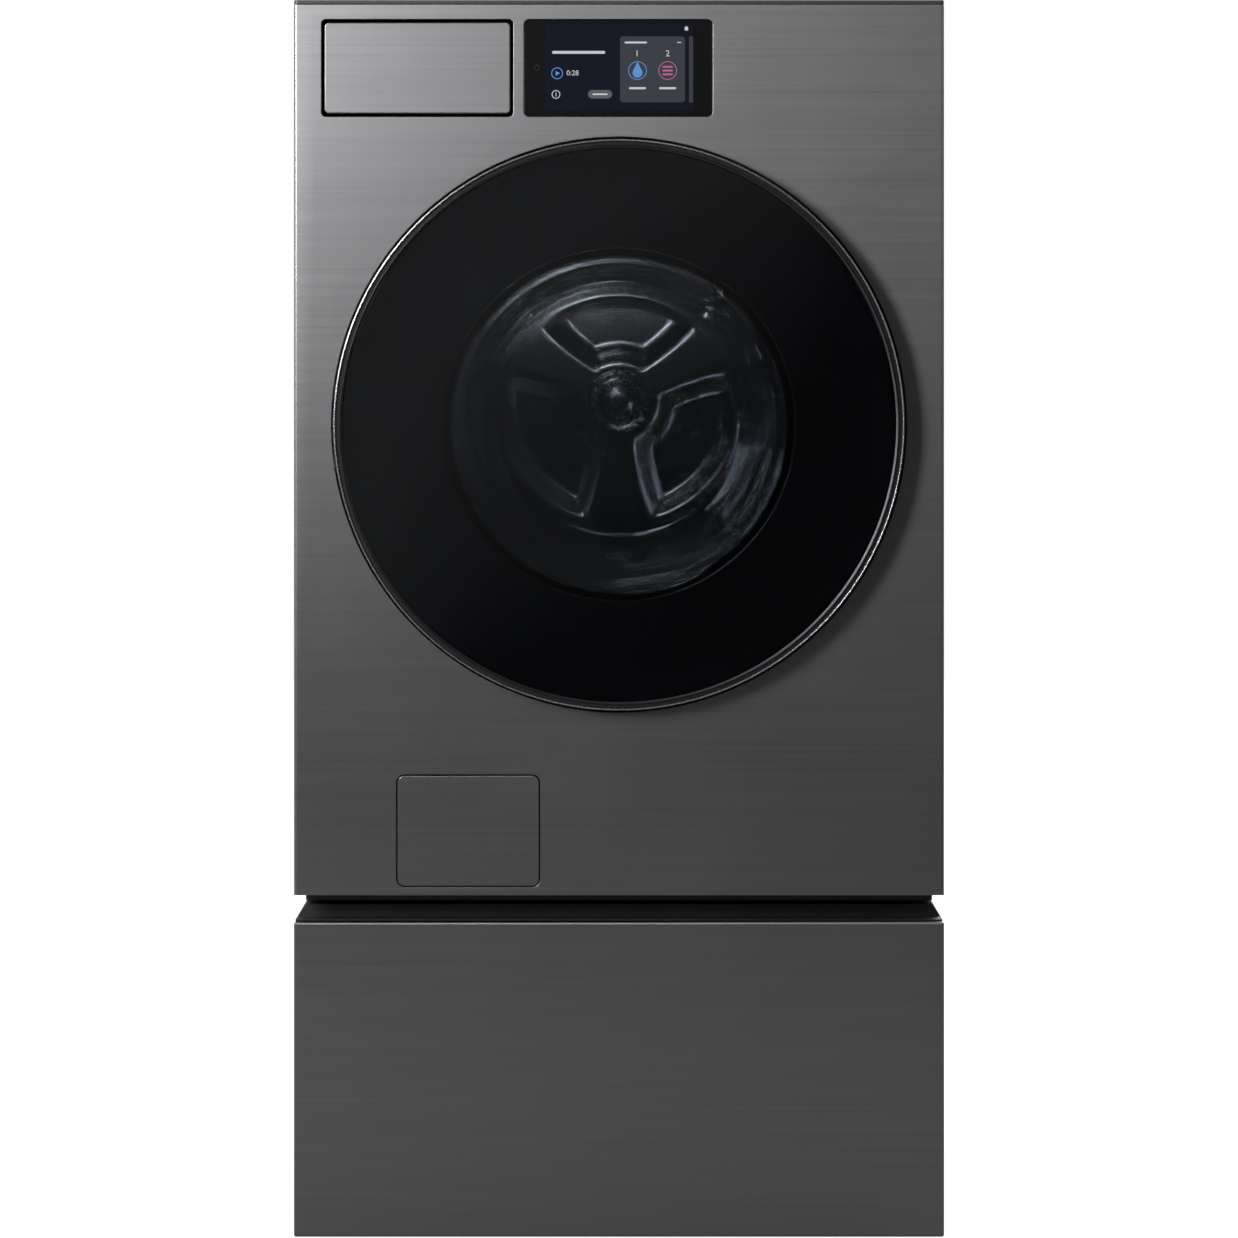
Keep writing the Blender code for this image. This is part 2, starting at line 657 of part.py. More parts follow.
def door_gasket():
    """Rubber bellows from the panel's opening to the tub."""
    front, back = SEAT_FLOOR, TUB_FRONT - SHEET
    outside = MOUTH_R - TOUCH
    rise, wall = outside + BELLOWS_RISE, RUBBER_WALL
    profile = [
        (outside, front + TOUCH),
        (outside, front + BELLOWS_START),
        (rise, front + BELLOWS_TOP[0]),
        (rise, front + BELLOWS_TOP[1]),
        (outside + CUFF_RISE, front + BELLOWS_END),
        (outside + CUFF_RISE, back),
        (outside + CUFF_RISE - wall, back),
        (outside + CUFF_RISE - wall, front + BELLOWS_END - SHEET),
        (rise - wall, front + BELLOWS_TOP[1] - SHEET),
        (rise - wall, front + BELLOWS_TOP[0] + SHEET),
        (outside - wall, front + BELLOWS_START + SHEET),
        (outside - GASKET_LIP, front + BELLOWS_START - SHEET),
        (outside - GASKET_LIP, front + TOUCH),
        (outside - GASKET_LIP + SHEET, front - LIP_OUT),
        (outside - 2 * SHEET, front - LIP_OUT),
    ]
    lean = (DOOR_Z - AXIS_Z, front + BELLOWS_START + SHEET, front + BELLOWS_END)
    node("door_gasket", turned(profile, DRUM_CENTRE, segments=MEDIUM, lean=lean), RUBBER)


def controls():
    """Black display window and the electronics housing behind it."""
    window = rounded(inset(DISPLAY_X, TOUCH), inset(STRIP_Z, TOUCH), DISPLAY_CORNER - TOUCH)
    glass_back = FRONT + 3 * SHEET
    node("display_glass", prism(window, FRONT + TOUCH, glass_back, "Y"), GLASS)
    depth = (glass_back + TOUCH, FRONT + 2 * FOLD)
    casing = box(inset(DISPLAY_X, SLIDE), depth, inset(STRIP_Z, SLIDE))
    node("control_board", casing, GREY_PLASTIC)


def dispenser():
    """Detergent drawer: a housing fixed in the cabinet, a tray and its front."""
    front = rounded(
        inset(DISPENSER_X, DISPENSER_FRONT_GAP),
        inset(STRIP_Z, DISPENSER_FRONT_GAP),
        DISPENSER_CORNER,
    )
    back = FRONT + DISPENSER_FRONT_THICK
    face = node("dispenser_front", prism(front, FRONT, back, "Y"), STEEL, (0, FRONT, 0))
    rim = DISPENSER_FRONT_GAP + 2 * SHEET
    cut(face, box(inset(DISPENSER_X, rim), (FRONT + SHEET, back + FOLD), inset(STRIP_Z, rim)))
    middle = sum(DISPENSER_X) / 2
    half = (DISPENSER_X[1] - DISPENSER_X[0]) / 2 - 4 * DISPENSER_FRONT_GAP
    across, floor = (middle - half, middle + half), STRIP_Z[0] + 2 * DISPENSER_FRONT_GAP
    along, rise = (back + TOUCH, back + TOUCH + TRAY_DEPTH), (floor, floor + TRAY_HEIGHT)
    tray = node("dispenser_tray", box(across, along, rise), GREY_PLASTIC, (0, FRONT, 0))
    pitch = (2 * half - TRAY_WALL) / TRAY_CELLS
    for cell in range(TRAY_CELLS):
        left = across[0] + TRAY_WALL + cell * pitch
        hollow = (rise[0] + TRAY_WALL, rise[1] + TRAY_WALL)
        cut(tray, box((left, left + pitch - TRAY_WALL), inset(along, TRAY_WALL), hollow))
    shell_y = (FRONT + SHEET + TOUCH, along[1] + 4 * TRAY_WALL)
    shell_x, shell_z = inset(DISPENSER_X, -HOUSING_WALL * 1.5), inset(STRIP_Z, -HOUSING_WALL * 1.5)
    housing = node("dispenser_housing", box(shell_x, shell_y, shell_z), DARK_PLASTIC)
    inside = (shell_y[0] - FOLD, shell_y[1] - HOUSING_WALL)
    cut(housing, box(inset(shell_x, HOUSING_WALL), inside, inset(shell_z, HOUSING_WALL)))


def filter_flap():
    """Flap over the drain filter, hinged along its lower edge."""
    across, rise = inset(FLAP_X, FLAP_GAP), inset(FLAP_Z, FLAP_GAP)
    pivot = (0, FRONT, FLAP_Z[0] + FLAP_CORNER)
    plate = prism(rounded(across, rise, FLAP_CORNER - FLAP_GAP), FRONT, FRONT + FLAP_THICK, "Y")
    node("filter_door", plate, STEEL, pivot)


def pump():
    """Drain pump on the base floor, its screw-in filter and the hoses to and from it."""
    centre = (FLAP_MIDDLE, 0, PUMP_Z)
    face = FRONT + BASE_SETBACK + TOUCH
    body = [
        (0, face + PUMP_NECK),
        (FILTER_R * 0.8, face + PUMP_NECK),
        (FILTER_R * 0.8, face),
        (PUMP_R * 0.85, face),
        (PUMP_R * 0.85, face + PUMP_STEP[0]),
        (PUMP_R, face + PUMP_STEP[1]),
        (PUMP_R, face + PUMP_LENGTH),
        (0, face + PUMP_LENGTH),
    ]
    node("drain_pump", turned(body, centre, segments=2 * SMALL), DARK_PLASTIC)
    cap = [
        (0, face - CAP_THICK),
        (FILTER_R, face - CAP_THICK),
        (FILTER_R, face - TOUCH),
        (FILTER_R * 0.75, face - TOUCH),
        (FILTER_R * 0.75, face + PUMP_NECK - 2 * SHEET),
        (0, face + PUMP_NECK - 2 * SHEET),
    ]
    pivot = (FLAP_MIDDLE, face, PUMP_Z)
    plug = node("pump_filter", turned(cap, centre, segments=2 * SMALL), GREY_PLASTIC, pivot)
    across = (FLAP_MIDDLE - FILTER_R * 0.8, FLAP_MIDDLE + FILTER_R * 0.8)
    out = (face - GRIP_OUT, face - CAP_THICK + SHEET)
    join(plug, box(across, out, (PUMP_Z - GRIP_HALF, PUMP_Z + GRIP_HALF)))
    drain = tube(PIPE_R, PIPE_R * 0.7, face + PUMP_LENGTH + TOUCH, BACK + REAR_PORT * 0.7, centre)
    node("drain_pipe", drain, RUBBER)
    under = FLAP_MIDDLE + math.copysign(HOSE_R, -FLAP_MIDDLE)
    high = AXIS_Z - math.sqrt(TUB_R**2 - under**2) - HOSE_CLEAR
    low = PUMP_Z + PUMP_R + HOSE_CLEAR
    place = (FLAP_MIDDLE, face + PUMP_LENGTH * 0.75, 0)
    node("sump_hose", tube(HOSE_R, HOSE_R - HOSE_WALL, low, high, place, "Z"), RUBBER)


def water_inlet():
    """Inlet valve and power socket at the rear, and the hose from the dispenser to the tub."""
    back = REAR_SKIN - SHEET - VALVE_CLEAR
    middle = VALVE_X + VALVE_PITCH / 2
    across = (middle - VALVE_HALF[0], middle + VALVE_HALF[0])
    rise = (VALVE_Z - VALVE_HALF[1], VALVE_Z + VALVE_HALF[1])
    valve = node("water_valve", box(across, (back - VALVE_DEEP, back), rise), GREY_PLASTIC)
    for x in (VALVE_X, VALVE_X + VALVE_PITCH):
        join(valve, rod(INLET_R, back - VALVE_DEEP / 2, BACK + REAR_PORT, (x, 0, VALVE_Z)))
    hose_x = DISPENSER_X[0] + 0.62 * (DISPENSER_X[1] - DISPENSER_X[0])
    inner = min(abs(hose_x - HOSE_R), abs(hose_x + HOSE_R))
    low = AXIS_Z + math.sqrt(TUB_R**2 - inner**2) + HOSE_CLEAR
    high = STRIP_Z[0] - HOUSING_WALL * 1.5 - TOUCH
    place = (hose_x, FRONT + TRAY_DEPTH * 0.85, 0)
    node("fill_hose", tube(HOSE_R, HOSE_R - HOSE_WALL, low, high, place, "Z"), RUBBER)
    half = POWER_SIZE / 2
    deep = (REAR_SKIN - POWER_DEEP, BACK + POWER_OUT)
    socket = box((POWER_X - half, POWER_X + half), deep, (VALVE_Z - half, VALVE_Z + half))
    node("power_inlet", socket, DARK_PLASTIC)


def tub():
    """Two moulded halves, a concrete weight, and the motor's fixed part on the back."""
    inner, lip = TUB_R - TUB_WALL, DRUM_MOUTH_R + DRUM_BEND
    bore, seat = SHAFT_R + SLIDE, TUB_BACK - TUB_GAP
    front = [
        (lip, TUB_FRONT),
        (TUB_R, TUB_FRONT),
        (TUB_R, TUB_MIDDLE - FLANGE),
        (TUB_R + FLANGE, TUB_MIDDLE - FLANGE),
        (TUB_R + FLANGE, TUB_MIDDLE - TOUCH),
        (inner, TUB_MIDDLE - TOUCH),
        (inner, TUB_FRONT + TUB_WALL),
        (lip, TUB_FRONT + TUB_WALL),
    ]
    node("tub_front", turned(front, DRUM_CENTRE, segments=MEDIUM), GREY_PLASTIC)
    rear = [
        (inner, TUB_MIDDLE),
        (TUB_R + FLANGE, TUB_MIDDLE),
        (TUB_R + FLANGE, TUB_MIDDLE + FLANGE),
        (TUB_R, TUB_MIDDLE + FLANGE),
        (TUB_R, TUB_BACK),
        (BEARING_R, TUB_BACK),
        (BEARING_R, TUB_BACK + BEARING_OUT),
        (bore, TUB_BACK + BEARING_OUT),
        (bore, seat),
        (BEARING_R, seat),
        (BEARING_R + FLANGE, TUB_BACK - TUB_WALL),
        (inner, TUB_BACK - TUB_WALL),
    ]
    node("tub_rear", turned(rear, DRUM_CENTRE, segments=MEDIUM), GREY_PLASTIC)
    block = [
        (WEIGHT_R, TUB_FRONT - WEIGHT_THICK),
        (WEIGHT_R + WEIGHT_WIDTH, TUB_FRONT - WEIGHT_THICK),
        (WEIGHT_R + WEIGHT_WIDTH, TUB_FRONT - TOUCH),
        (WEIGHT_R, TUB_FRONT - TOUCH),
    ]
    weight = turned(block, DRUM_CENTRE, segments=24, arc=(20, 160))
    node("counterweight", weight, CONCRETE)
    ends = (TUB_BACK + TOUCH, TUB_BACK + TOUCH + STATOR_LENGTH)
    windings = tube(STATOR_R, BEARING_R + SLIDE, *ends, DRUM_CENTRE, segments=MEDIUM)
    node("stator", windings, COPPER)


def drum():
    """Steel basket with its lifters, and the spider, shaft and rotor that turn with it."""
    inner, outer = DRUM_R, DRUM_R + DRUM_WALL
    front, back, wall, bend = DRUM_FRONT, DRUM_BACK, DRUM_WALL, DRUM_BEND
    crown, swell = DRUM_MOUTH_R + DRUM_CROWN, front - DRUM_BEND / 2
    dish = back - DRUM_DISH
    shell = [
        (DRUM_MOUTH_R, front),
        (crown, swell),
        (outer - bend, front),
        (outer, front + bend),
        (outer, back - bend),
        (outer - bend, back),
        (DRUM_R * 0.62, back),
        (DRUM_R * 0.58, dish),
        (0, dish),
        (0, dish - wall),
        (DRUM_R * 0.58, dish - wall),
        (DRUM_R * 0.62, back - wall),
        (inner - bend, back - wall),
        (inner, back - bend - wall),
        (inner, front + bend + wall),
        (inner - bend, front + wall),
        (crown, swell + wall),
        (DRUM_MOUTH_R, front + DRUM_DISH),
    ]
    pivot = (0, DRUM_BACK, AXIS_Z)
    node("drum_shell", turned(shell, DRUM_CENTRE, segments=MEDIUM), BRIGHT, pivot)
    arm_y = (back + TOUCH, TUB_BACK - SPIDER_SETBACK)
    shaft = rod(SHAFT_R, arm_y[0], TUB_BACK + BEARING_OUT + SHAFT_OUT, DRUM_CENTRE)
    spider = node("drum_spider", shaft, ZINC, pivot)
    join(spider, rod(SHAFT_R * 3.5, *arm_y, DRUM_CENTRE, segments=36))
    for index in range(LIFTERS):
        reach = (SHAFT_R * 2.5, DRUM_R - 1.5 * bend)
        arm = box(reach, inset(arm_y, SHEET), (-SPIDER_ARM, SPIDER_ARM))
        turn = Matrix.Rotation(math.radians(90 + index * 360 / LIFTERS), 4, "Y")
        bmesh.ops.transform(arm, verts=arm.verts, matrix=Matrix.Translation(DRUM_CENTRE) @ turn)
        join(spider, arm)
    base = math.sqrt(DRUM_R**2 - (LIFTER_WIDTH / 2) ** 2) - SHEET
    outline = [
        (-LIFTER_WIDTH / 2, base),
        (LIFTER_WIDTH / 2, base),
        (LIFTER_WIDTH * 0.34, base - LIFTER_HEIGHT * 0.45),
        (LIFTER_WIDTH * 0.14, base - LIFTER_HEIGHT),
        (-LIFTER_WIDTH * 0.14, base - LIFTER_HEIGHT),
        (-LIFTER_WIDTH * 0.34, base - LIFTER_HEIGHT * 0.45),
    ]
    for index in range(LIFTERS):
        paddle = prism(outline, front + 3 * bend, back - 4 * bend, "Y")
        turn = Matrix.Rotation(math.radians(180 + index * 360 / LIFTERS), 4, "Y")
        place = Matrix.Translation(DRUM_CENTRE) @ turn
        bmesh.ops.transform(paddle, verts=paddle.verts, matrix=place)
        node(f"drum_lifter_{index + 1}", paddle, GREY_PLASTIC, pivot)
    cup, rim = TUB_BACK + BEARING_OUT + ROTOR_BACK, TUB_BACK + ROTOR_BACK
    rotor = [
        (SHAFT_R + TOUCH, cup),
        (ROTOR_R - ROTOR_WALL, cup),
        (ROTOR_R - ROTOR_WALL, rim),
        (ROTOR_R, rim),
        (ROTOR_R, cup + ROTOR_BACK),
        (SHAFT_R + TOUCH, cup + ROTOR_BACK),
    ]
    node("rotor", turned(rotor, DRUM_CENTRE, segments=MEDIUM), ZINC, pivot)


def suspension():
    """Springs that hang the tub and dampers that stand under it."""
    clear = TUB_R + FLANGE
    for side, name in ((-1, "left"), (1, "right")):
        place = (side * DAMPER_X, DAMPER_Y, 0)
        low, high = BASE_TOP + TOUCH, BASE_TOP + DAMPER_LENGTH
        floor = low + ROTOR_WALL
        barrel = [
            (0, low),
            (DAMPER_R, low),
            (DAMPER_R, high),
            (DAMPER_BORE, high),
            (DAMPER_BORE, floor),
            (0, floor),
        ]
        node(f"damper_cylinder_{name}", turned(barrel, place, "Z", SMALL), DARK_PLASTIC)
        inner = DAMPER_X - DAMPER_ROD_R
        top = AXIS_Z - math.sqrt(clear**2 - inner**2) - TOUCH
        bar = rod(DAMPER_ROD_R, low + DAMPER_LENGTH / 2, top, place, "Z")
        node(f"damper_rod_{name}", bar, ZINC)
        near = SPRING_X - SPRING_R
        seat = AXIS_Z + math.sqrt(clear**2 - near**2) + HOSE_CLEAR
        centre = (side * SPRING_X, SPRING_Y, 0)
        coil = tube(SPRING_R, SPRING_R * 0.7, seat, seat + SPRING_LENGTH, centre, "Z")
        node(f"spring_{name}", coil, ZINC)


def pedestal():
    """Steel box on feet, its stepped top, the drawer and the drawer's sliding runners."""
    near = FRONT + LEDGE_SETBACK
    lid = DRAWER_TOP - SHEET
    low = PEDESTAL_CLEAR
    shell = node("pedestal_cabinet", box((-SIDE, SIDE), (near, BACK), (low, lid - TOUCH)), STEEL)
    inside = inset((-SIDE, SIDE), SHEET)
    cut(shell, box(inside, (near - FOLD, BACK - SHEET), (low + SHEET, lid + FOLD)))
    cap = node("pedestal_top", box((-SIDE, SIDE), (near, BACK), (lid, DRAWER_TOP)), BLACK_PAINT)
    foot_z, reach = DRAWER_TOP - SHEET / 2, SIDE - TOUCH
    step = [
        (-reach, foot_z),
        (reach, foot_z),
        (SIDE - BASE_INSET, PEDESTAL_TOP),
        (BASE_INSET - SIDE, PEDESTAL_TOP),
    ]
    join(cap, prism(step, FRONT + BASE_SETBACK, BACK - TOUCH, "Y"))
    back, edge = FRONT + DRAWER_THICK, DRAWER_EDGE
    profile = [
        (FRONT + edge, FOOT_SHOW),
        (back, FOOT_SHOW),
        (back, DRAWER_TOP - GROOVE_DEPTH),
        (FRONT + DRAWER_LIP, DRAWER_TOP - GROOVE_DEPTH),
        (FRONT + DRAWER_LIP, DRAWER_TOP),
        (FRONT + edge, DRAWER_TOP),
        (FRONT + edge * 0.3, DRAWER_TOP - edge * 0.3),
        (FRONT, DRAWER_TOP - edge),
        (FRONT, FOOT_SHOW + edge),
        (FRONT + edge * 0.3, FOOT_SHOW + edge * 0.3),
    ]
    pivot = (0, FRONT, 0)
    face = node("drawer_front", prism(profile, -SIDE, SIDE, "X"), STEEL, pivot)
    pan = (FOOT_SHOW + 2 * SHEET, DRAWER_TOP - GROOVE_DEPTH - 2 * SHEET)
    cut(face, box(inset((-SIDE, SIDE), 2 * SHEET), (FRONT + SHEET, back + FOLD), pan))
    wall = SIDE - SHEET - RAIL_WIDTH - 2 * RAIL_GAP
    along = (back + TOUCH, back + TOUCH + DRAWER_BOX_DEPTH)
    rise = (DRAWER_BOX_RISE, DRAWER_BOX_RISE + DRAWER_BOX_HEIGHT)
    drawer = node("drawer_box", box((-wall, wall), along, rise), ZINC, pivot)
    hollow = (rise[0] + DRAWER_WALL, rise[1] + DRAWER_WALL)
    cut(drawer, box(inset((-wall, wall), DRAWER_WALL), inset(along, DRAWER_WALL), hollow))
    for side, name in ((-1, "left"), (1, "right")):
        ends = sorted((side * (wall + RAIL_GAP), side * (wall + RAIL_GAP + RAIL_WIDTH)))
        middle = sum(rise) / 2
        rail_z = (middle - RAIL_HEIGHT / 2, middle + RAIL_HEIGHT / 2)
        rail_y = (near + FOLD, near + FOLD + RAIL_LENGTH)
        node(f"drawer_runner_{name}", box(ends, rail_y, rail_z), ZINC, pivot)


clear_scene()
front_panel()
side_panels()
rear_panel()
top_cover()
base_frame()
feet()
hinge()
door()
door_lock()
door_gasket()
controls()
dispenser()
filter_flap()
pump()
water_inlet()
tub()
drum()
suspension()
pedestal()
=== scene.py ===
"""Looks of a front-loading washing machine on its drawer pedestal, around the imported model."""

import json
import math

import bmesh
import bpy
from mathutils import Matrix, Vector


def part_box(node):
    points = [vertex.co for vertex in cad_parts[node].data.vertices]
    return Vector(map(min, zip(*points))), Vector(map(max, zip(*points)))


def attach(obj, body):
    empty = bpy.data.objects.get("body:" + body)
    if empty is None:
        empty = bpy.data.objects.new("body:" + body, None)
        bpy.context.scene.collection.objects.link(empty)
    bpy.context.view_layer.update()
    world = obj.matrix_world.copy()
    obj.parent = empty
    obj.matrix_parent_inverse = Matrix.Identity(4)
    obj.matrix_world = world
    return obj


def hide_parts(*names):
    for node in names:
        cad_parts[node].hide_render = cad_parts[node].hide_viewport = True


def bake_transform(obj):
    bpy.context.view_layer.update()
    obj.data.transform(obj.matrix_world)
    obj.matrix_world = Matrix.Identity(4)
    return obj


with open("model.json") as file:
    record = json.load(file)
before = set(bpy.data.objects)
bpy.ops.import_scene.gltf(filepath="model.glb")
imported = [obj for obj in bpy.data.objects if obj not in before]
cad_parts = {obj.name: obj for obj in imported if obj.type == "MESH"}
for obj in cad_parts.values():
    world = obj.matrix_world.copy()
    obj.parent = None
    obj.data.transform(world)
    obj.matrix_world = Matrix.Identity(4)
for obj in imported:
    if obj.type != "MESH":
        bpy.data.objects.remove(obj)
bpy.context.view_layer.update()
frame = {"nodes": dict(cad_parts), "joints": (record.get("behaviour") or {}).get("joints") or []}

nodes = frame["nodes"]
joints = {joint["name"]: joint for joint in frame["joints"]}

# ---------------------------------------------------------------------------------------------
# Studio. Floor and background that the camera sees as white, a broad soft lamp high on the left that
# grades the steel from light to dark, three more at the right, above and behind, and a small lamp
# inside the drum that lets its back show through the glass.


def box_of(node):
    """Low and high corner of a CAD node."""
    return [Vector(corner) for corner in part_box(node)]


panel_low, panel_high = box_of("front_panel")
FRONT = panel_low.y
VIEW_DISTANCE = 4.0
EYE_HEIGHT = 0.93
FRAMED_HEIGHT = 1.3056
FRAMED_BOTTOM = 0.0142
SENSOR = 36.0

camera_data = bpy.data.cameras.new("camera")
camera_data.sensor_width = SENSOR
camera_data.lens = SENSOR * VIEW_DISTANCE / FRAMED_HEIGHT
camera_data.shift_y = (FRAMED_BOTTOM + FRAMED_HEIGHT / 2 - EYE_HEIGHT) / FRAMED_HEIGHT
camera_data.clip_end = 60
camera = bpy.data.objects.new("camera", camera_data)
camera.location = (0, FRONT - VIEW_DISTANCE, EYE_HEIGHT)
camera.rotation_euler = (math.radians(90), 0, 0)
bpy.context.scene.collection.objects.link(camera)
bpy.context.scene.camera = camera


def add_mesh(name, bm):
    """Link a bmesh to the scene as an object that sits at the origin."""
    mesh = bpy.data.meshes.new(name)
    bm.to_mesh(mesh)
    bm.free()
    obj = bpy.data.objects.new(name, mesh)
    bpy.context.scene.collection.objects.link(obj)
    return obj


def set_inputs(node, **values):
    """Set a node's unlinked inputs, with a low line for each space in a name."""
    for key, value in values.items():
        node.inputs[key.replace("_", " ")].default_value = value


def new_material(name):
    """A material with its shader and its tree."""
    material = bpy.data.materials.new(name)
    material.use_nodes = True
    tree = material.node_tree
    return material, tree.nodes["Principled BSDF"], tree


def floor():
    """Floor that the camera sees as white. To everything else it is grey."""
    across, near, far = 9.0, -2.2, 7.0
    bm = bmesh.new()
    corners = ((-across, near), (across, near), (across, far), (-across, far))
    bm.faces.new([bm.verts.new((x, y, 0)) for x, y in corners])
    obj = add_mesh("studio_floor", bm)
    material, shader, tree = new_material("studio_white")
    set_inputs(shader, Base_Color=(0.22, 0.22, 0.22, 1), Roughness=0.9, Emission_Color=(1, 1, 1, 1))
    eye = tree.nodes.new("ShaderNodeLightPath")
    tree.links.new(eye.outputs["Is Camera Ray"], shader.inputs["Emission Strength"])
    obj.data.materials.append(material)


def soft_lamp(name, place, aim, size, power):
    """A rectangular lamp that looks at a point."""
    data = bpy.data.lights.new(name, "AREA")
    data.shape = "RECTANGLE"
    data.size, data.size_y = size
    data.energy = power
    lamp = bpy.data.objects.new(name, data)
    lamp.location = place
    lamp.rotation_euler = (Vector(aim) - Vector(place)).to_track_quat("-Z", "Y").to_euler()
    bpy.context.scene.collection.objects.link(lamp)


floor()
soft_lamp("key_lamp", (-1.8, -2.3, 1.8), (-0.35, FRONT, 1.1), (0.7, 1.3), 112)
soft_lamp("fill_lamp", (3.2, -2.6, 2.2), (0.2, 0, 0.7), (1.6, 2.4), 12)
soft_lamp("drum_lamp", (-0.06, -0.205, 1.07), (0.0, 0.17, 0.86), (0.10, 0.03), 0.25)
soft_lamp("top_lamp", (0.3, 0.6, 3.8), (0, 0.3, 0), (2.6, 2.0), 50)
soft_lamp("rear_lamp", (1.6, 3.4, 2.6), (0, 0.2, 0.7), (2.4, 2.0), 60)


def studio_world():
    """White behind the machine. Reflections find a dark room ahead, with a dim glow at the left."""
    world = bpy.data.worlds.new("studio_world")
    bpy.context.scene.world = world
    world.use_nodes = True
    tree = world.node_tree
    link = tree.links.new
    coords = tree.nodes.new("ShaderNodeTexCoord")

    def toward(direction, near, far, low, high):
        """Value that goes from low to high as a direction turns to the one given."""
        dot = tree.nodes.new("ShaderNodeVectorMath")
        dot.operation = "DOT_PRODUCT"
        dot.inputs[1].default_value = direction
        ramp = tree.nodes.new("ShaderNodeMapRange")
        ramp.interpolation_type = "SMOOTHSTEP"
        for name, value in zip(("From Min", "From Max", "To Min", "To Max"), (near, far, low, high)):
            ramp.inputs[name].default_value = value
        link(coords.outputs["Generated"], dot.inputs[0])
        link(dot.outputs["Value"], ramp.inputs["Value"])
        return ramp.outputs["Result"]

    def combine(operation, first, second):
        made = tree.nodes.new("ShaderNodeMath")
        made.operation = operation
        link(first, made.inputs[0])
        link(second, made.inputs[1])
        return made.outputs[0]

    around = toward((0, -1, 0), 0.93, 0.60, 0.004, 0.42)
    slope = toward((-0.9, 0, 0.15), -0.7, 0.7, 0.50, 1.2)
    ahead = toward((0, -1, 0), 0.90, 0.99, 0.0, 0.20)
    glow = toward((-0.72, 0, 0.69), -0.075, 0.085, 0.02, 1.0)
    room = combine("ADD", combine("MULTIPLY", around, slope), combine("MULTIPLY", ahead, glow))
    eye = tree.nodes.new("ShaderNodeLightPath")
    shown = tree.nodes.new("ShaderNodeMix")
    shown.data_type = "FLOAT"
    shown.inputs[3].default_value = 1.0
    link(room, shown.inputs[2])
    link(eye.outputs["Is Camera Ray"], shown.inputs[0])
    hue = tree.nodes.new("ShaderNodeMix")
    hue.data_type = "RGBA"
    set_inputs(hue, A=(0.965, 0.985, 1.0, 1), B=(1, 1, 1, 1))
    link(eye.outputs["Is Camera Ray"], hue.inputs["Factor"])
    link(hue.outputs["Result"], tree.nodes["Background"].inputs["Color"])
    link(shown.outputs[0], tree.nodes["Background"].inputs["Strength"])


studio_world()
bpy.context.scene.view_settings.view_transform = "Standard"

# ---------------------------------------------------------------------------------------------
# Steel skin. Dark stainless sheet, brushed level, with a satin roughness. It covers the folded
# front panel, the dispenser's front, the filter flap and the drawer front.


def group_sockets(group, inputs, outputs):
    for name, kind, value in inputs:
        socket = group.interface.new_socket(name=name, in_out="INPUT", socket_type=kind)
        socket.default_value = value
    for name, kind in outputs:
        group.interface.new_socket(name=name, in_out="OUTPUT", socket_type=kind)
    return group.nodes.new("NodeGroupInput"), group.nodes.new("NodeGroupOutput")


def add_node(tree, kind, settings=(), **values):
    """Add a shader or geometry node, set its properties and its unlinked inputs."""
    made = tree.nodes.new(kind)
    for key, value in dict(settings).items():
        setattr(made, key, value)
    set_inputs(made, **values)
    return made


def wire(tree, pairs):
    """Join sockets, each given as a node and its output, then a node and its input."""
    for source, output, target, socket in pairs:
        tree.links.new(source.outputs[output], target.inputs[socket])


def brushed_group():
    """Fine level strokes of a brushed sheet: a tone and a height, stretched along X."""
    tree = bpy.data.node_groups.new("brushed_strokes", "ShaderNodeTree")
    inputs = [("Length", "NodeSocketFloat", 3.0), ("Fineness", "NodeSocketFloat", 900.0)]
    outputs = [("Tone", "NodeSocketFloat"), ("Height", "NodeSocketFloat")]
    group_in, group_out = group_sockets(tree, inputs, outputs)
    coords = add_node(tree, "ShaderNodeTexCoord")
    scale = add_node(tree, "ShaderNodeCombineXYZ")
    stretch = add_node(tree, "ShaderNodeVectorMath", {"operation": "MULTIPLY"})
    fine = add_node(tree, "ShaderNodeTexNoise", Scale=1.0, Detail=2.0, Roughness=0.6)
    broad = add_node(tree, "ShaderNodeTexNoise", Scale=1.0, Detail=1.0)
    broader = add_node(tree, "ShaderNodeVectorMath", {"operation": "MULTIPLY"})
    broader.inputs[1].default_value = (0.5, 0.12, 0.12)
    blend = add_node(tree, "ShaderNodeMix", {"data_type": "FLOAT"}, Factor=0.35)
    wire(tree, [
        (group_in, "Length", scale, "X"), (group_in, "Fineness", scale, "Y"),
        (group_in, "Fineness", scale, "Z"), (coords, "Object", stretch, 0), (scale, "Vector", stretch, 1),
        (stretch, "Vector", fine, "Vector"), (stretch, "Vector", broader, 0),
        (broader, "Vector", broad, "Vector"), (fine, "Fac", blend, 2), (broad, "Fac", blend, 3),
        (blend, 0, group_out, "Tone"), (fine, "Fac", group_out, "Height"),
    ])
    return tree


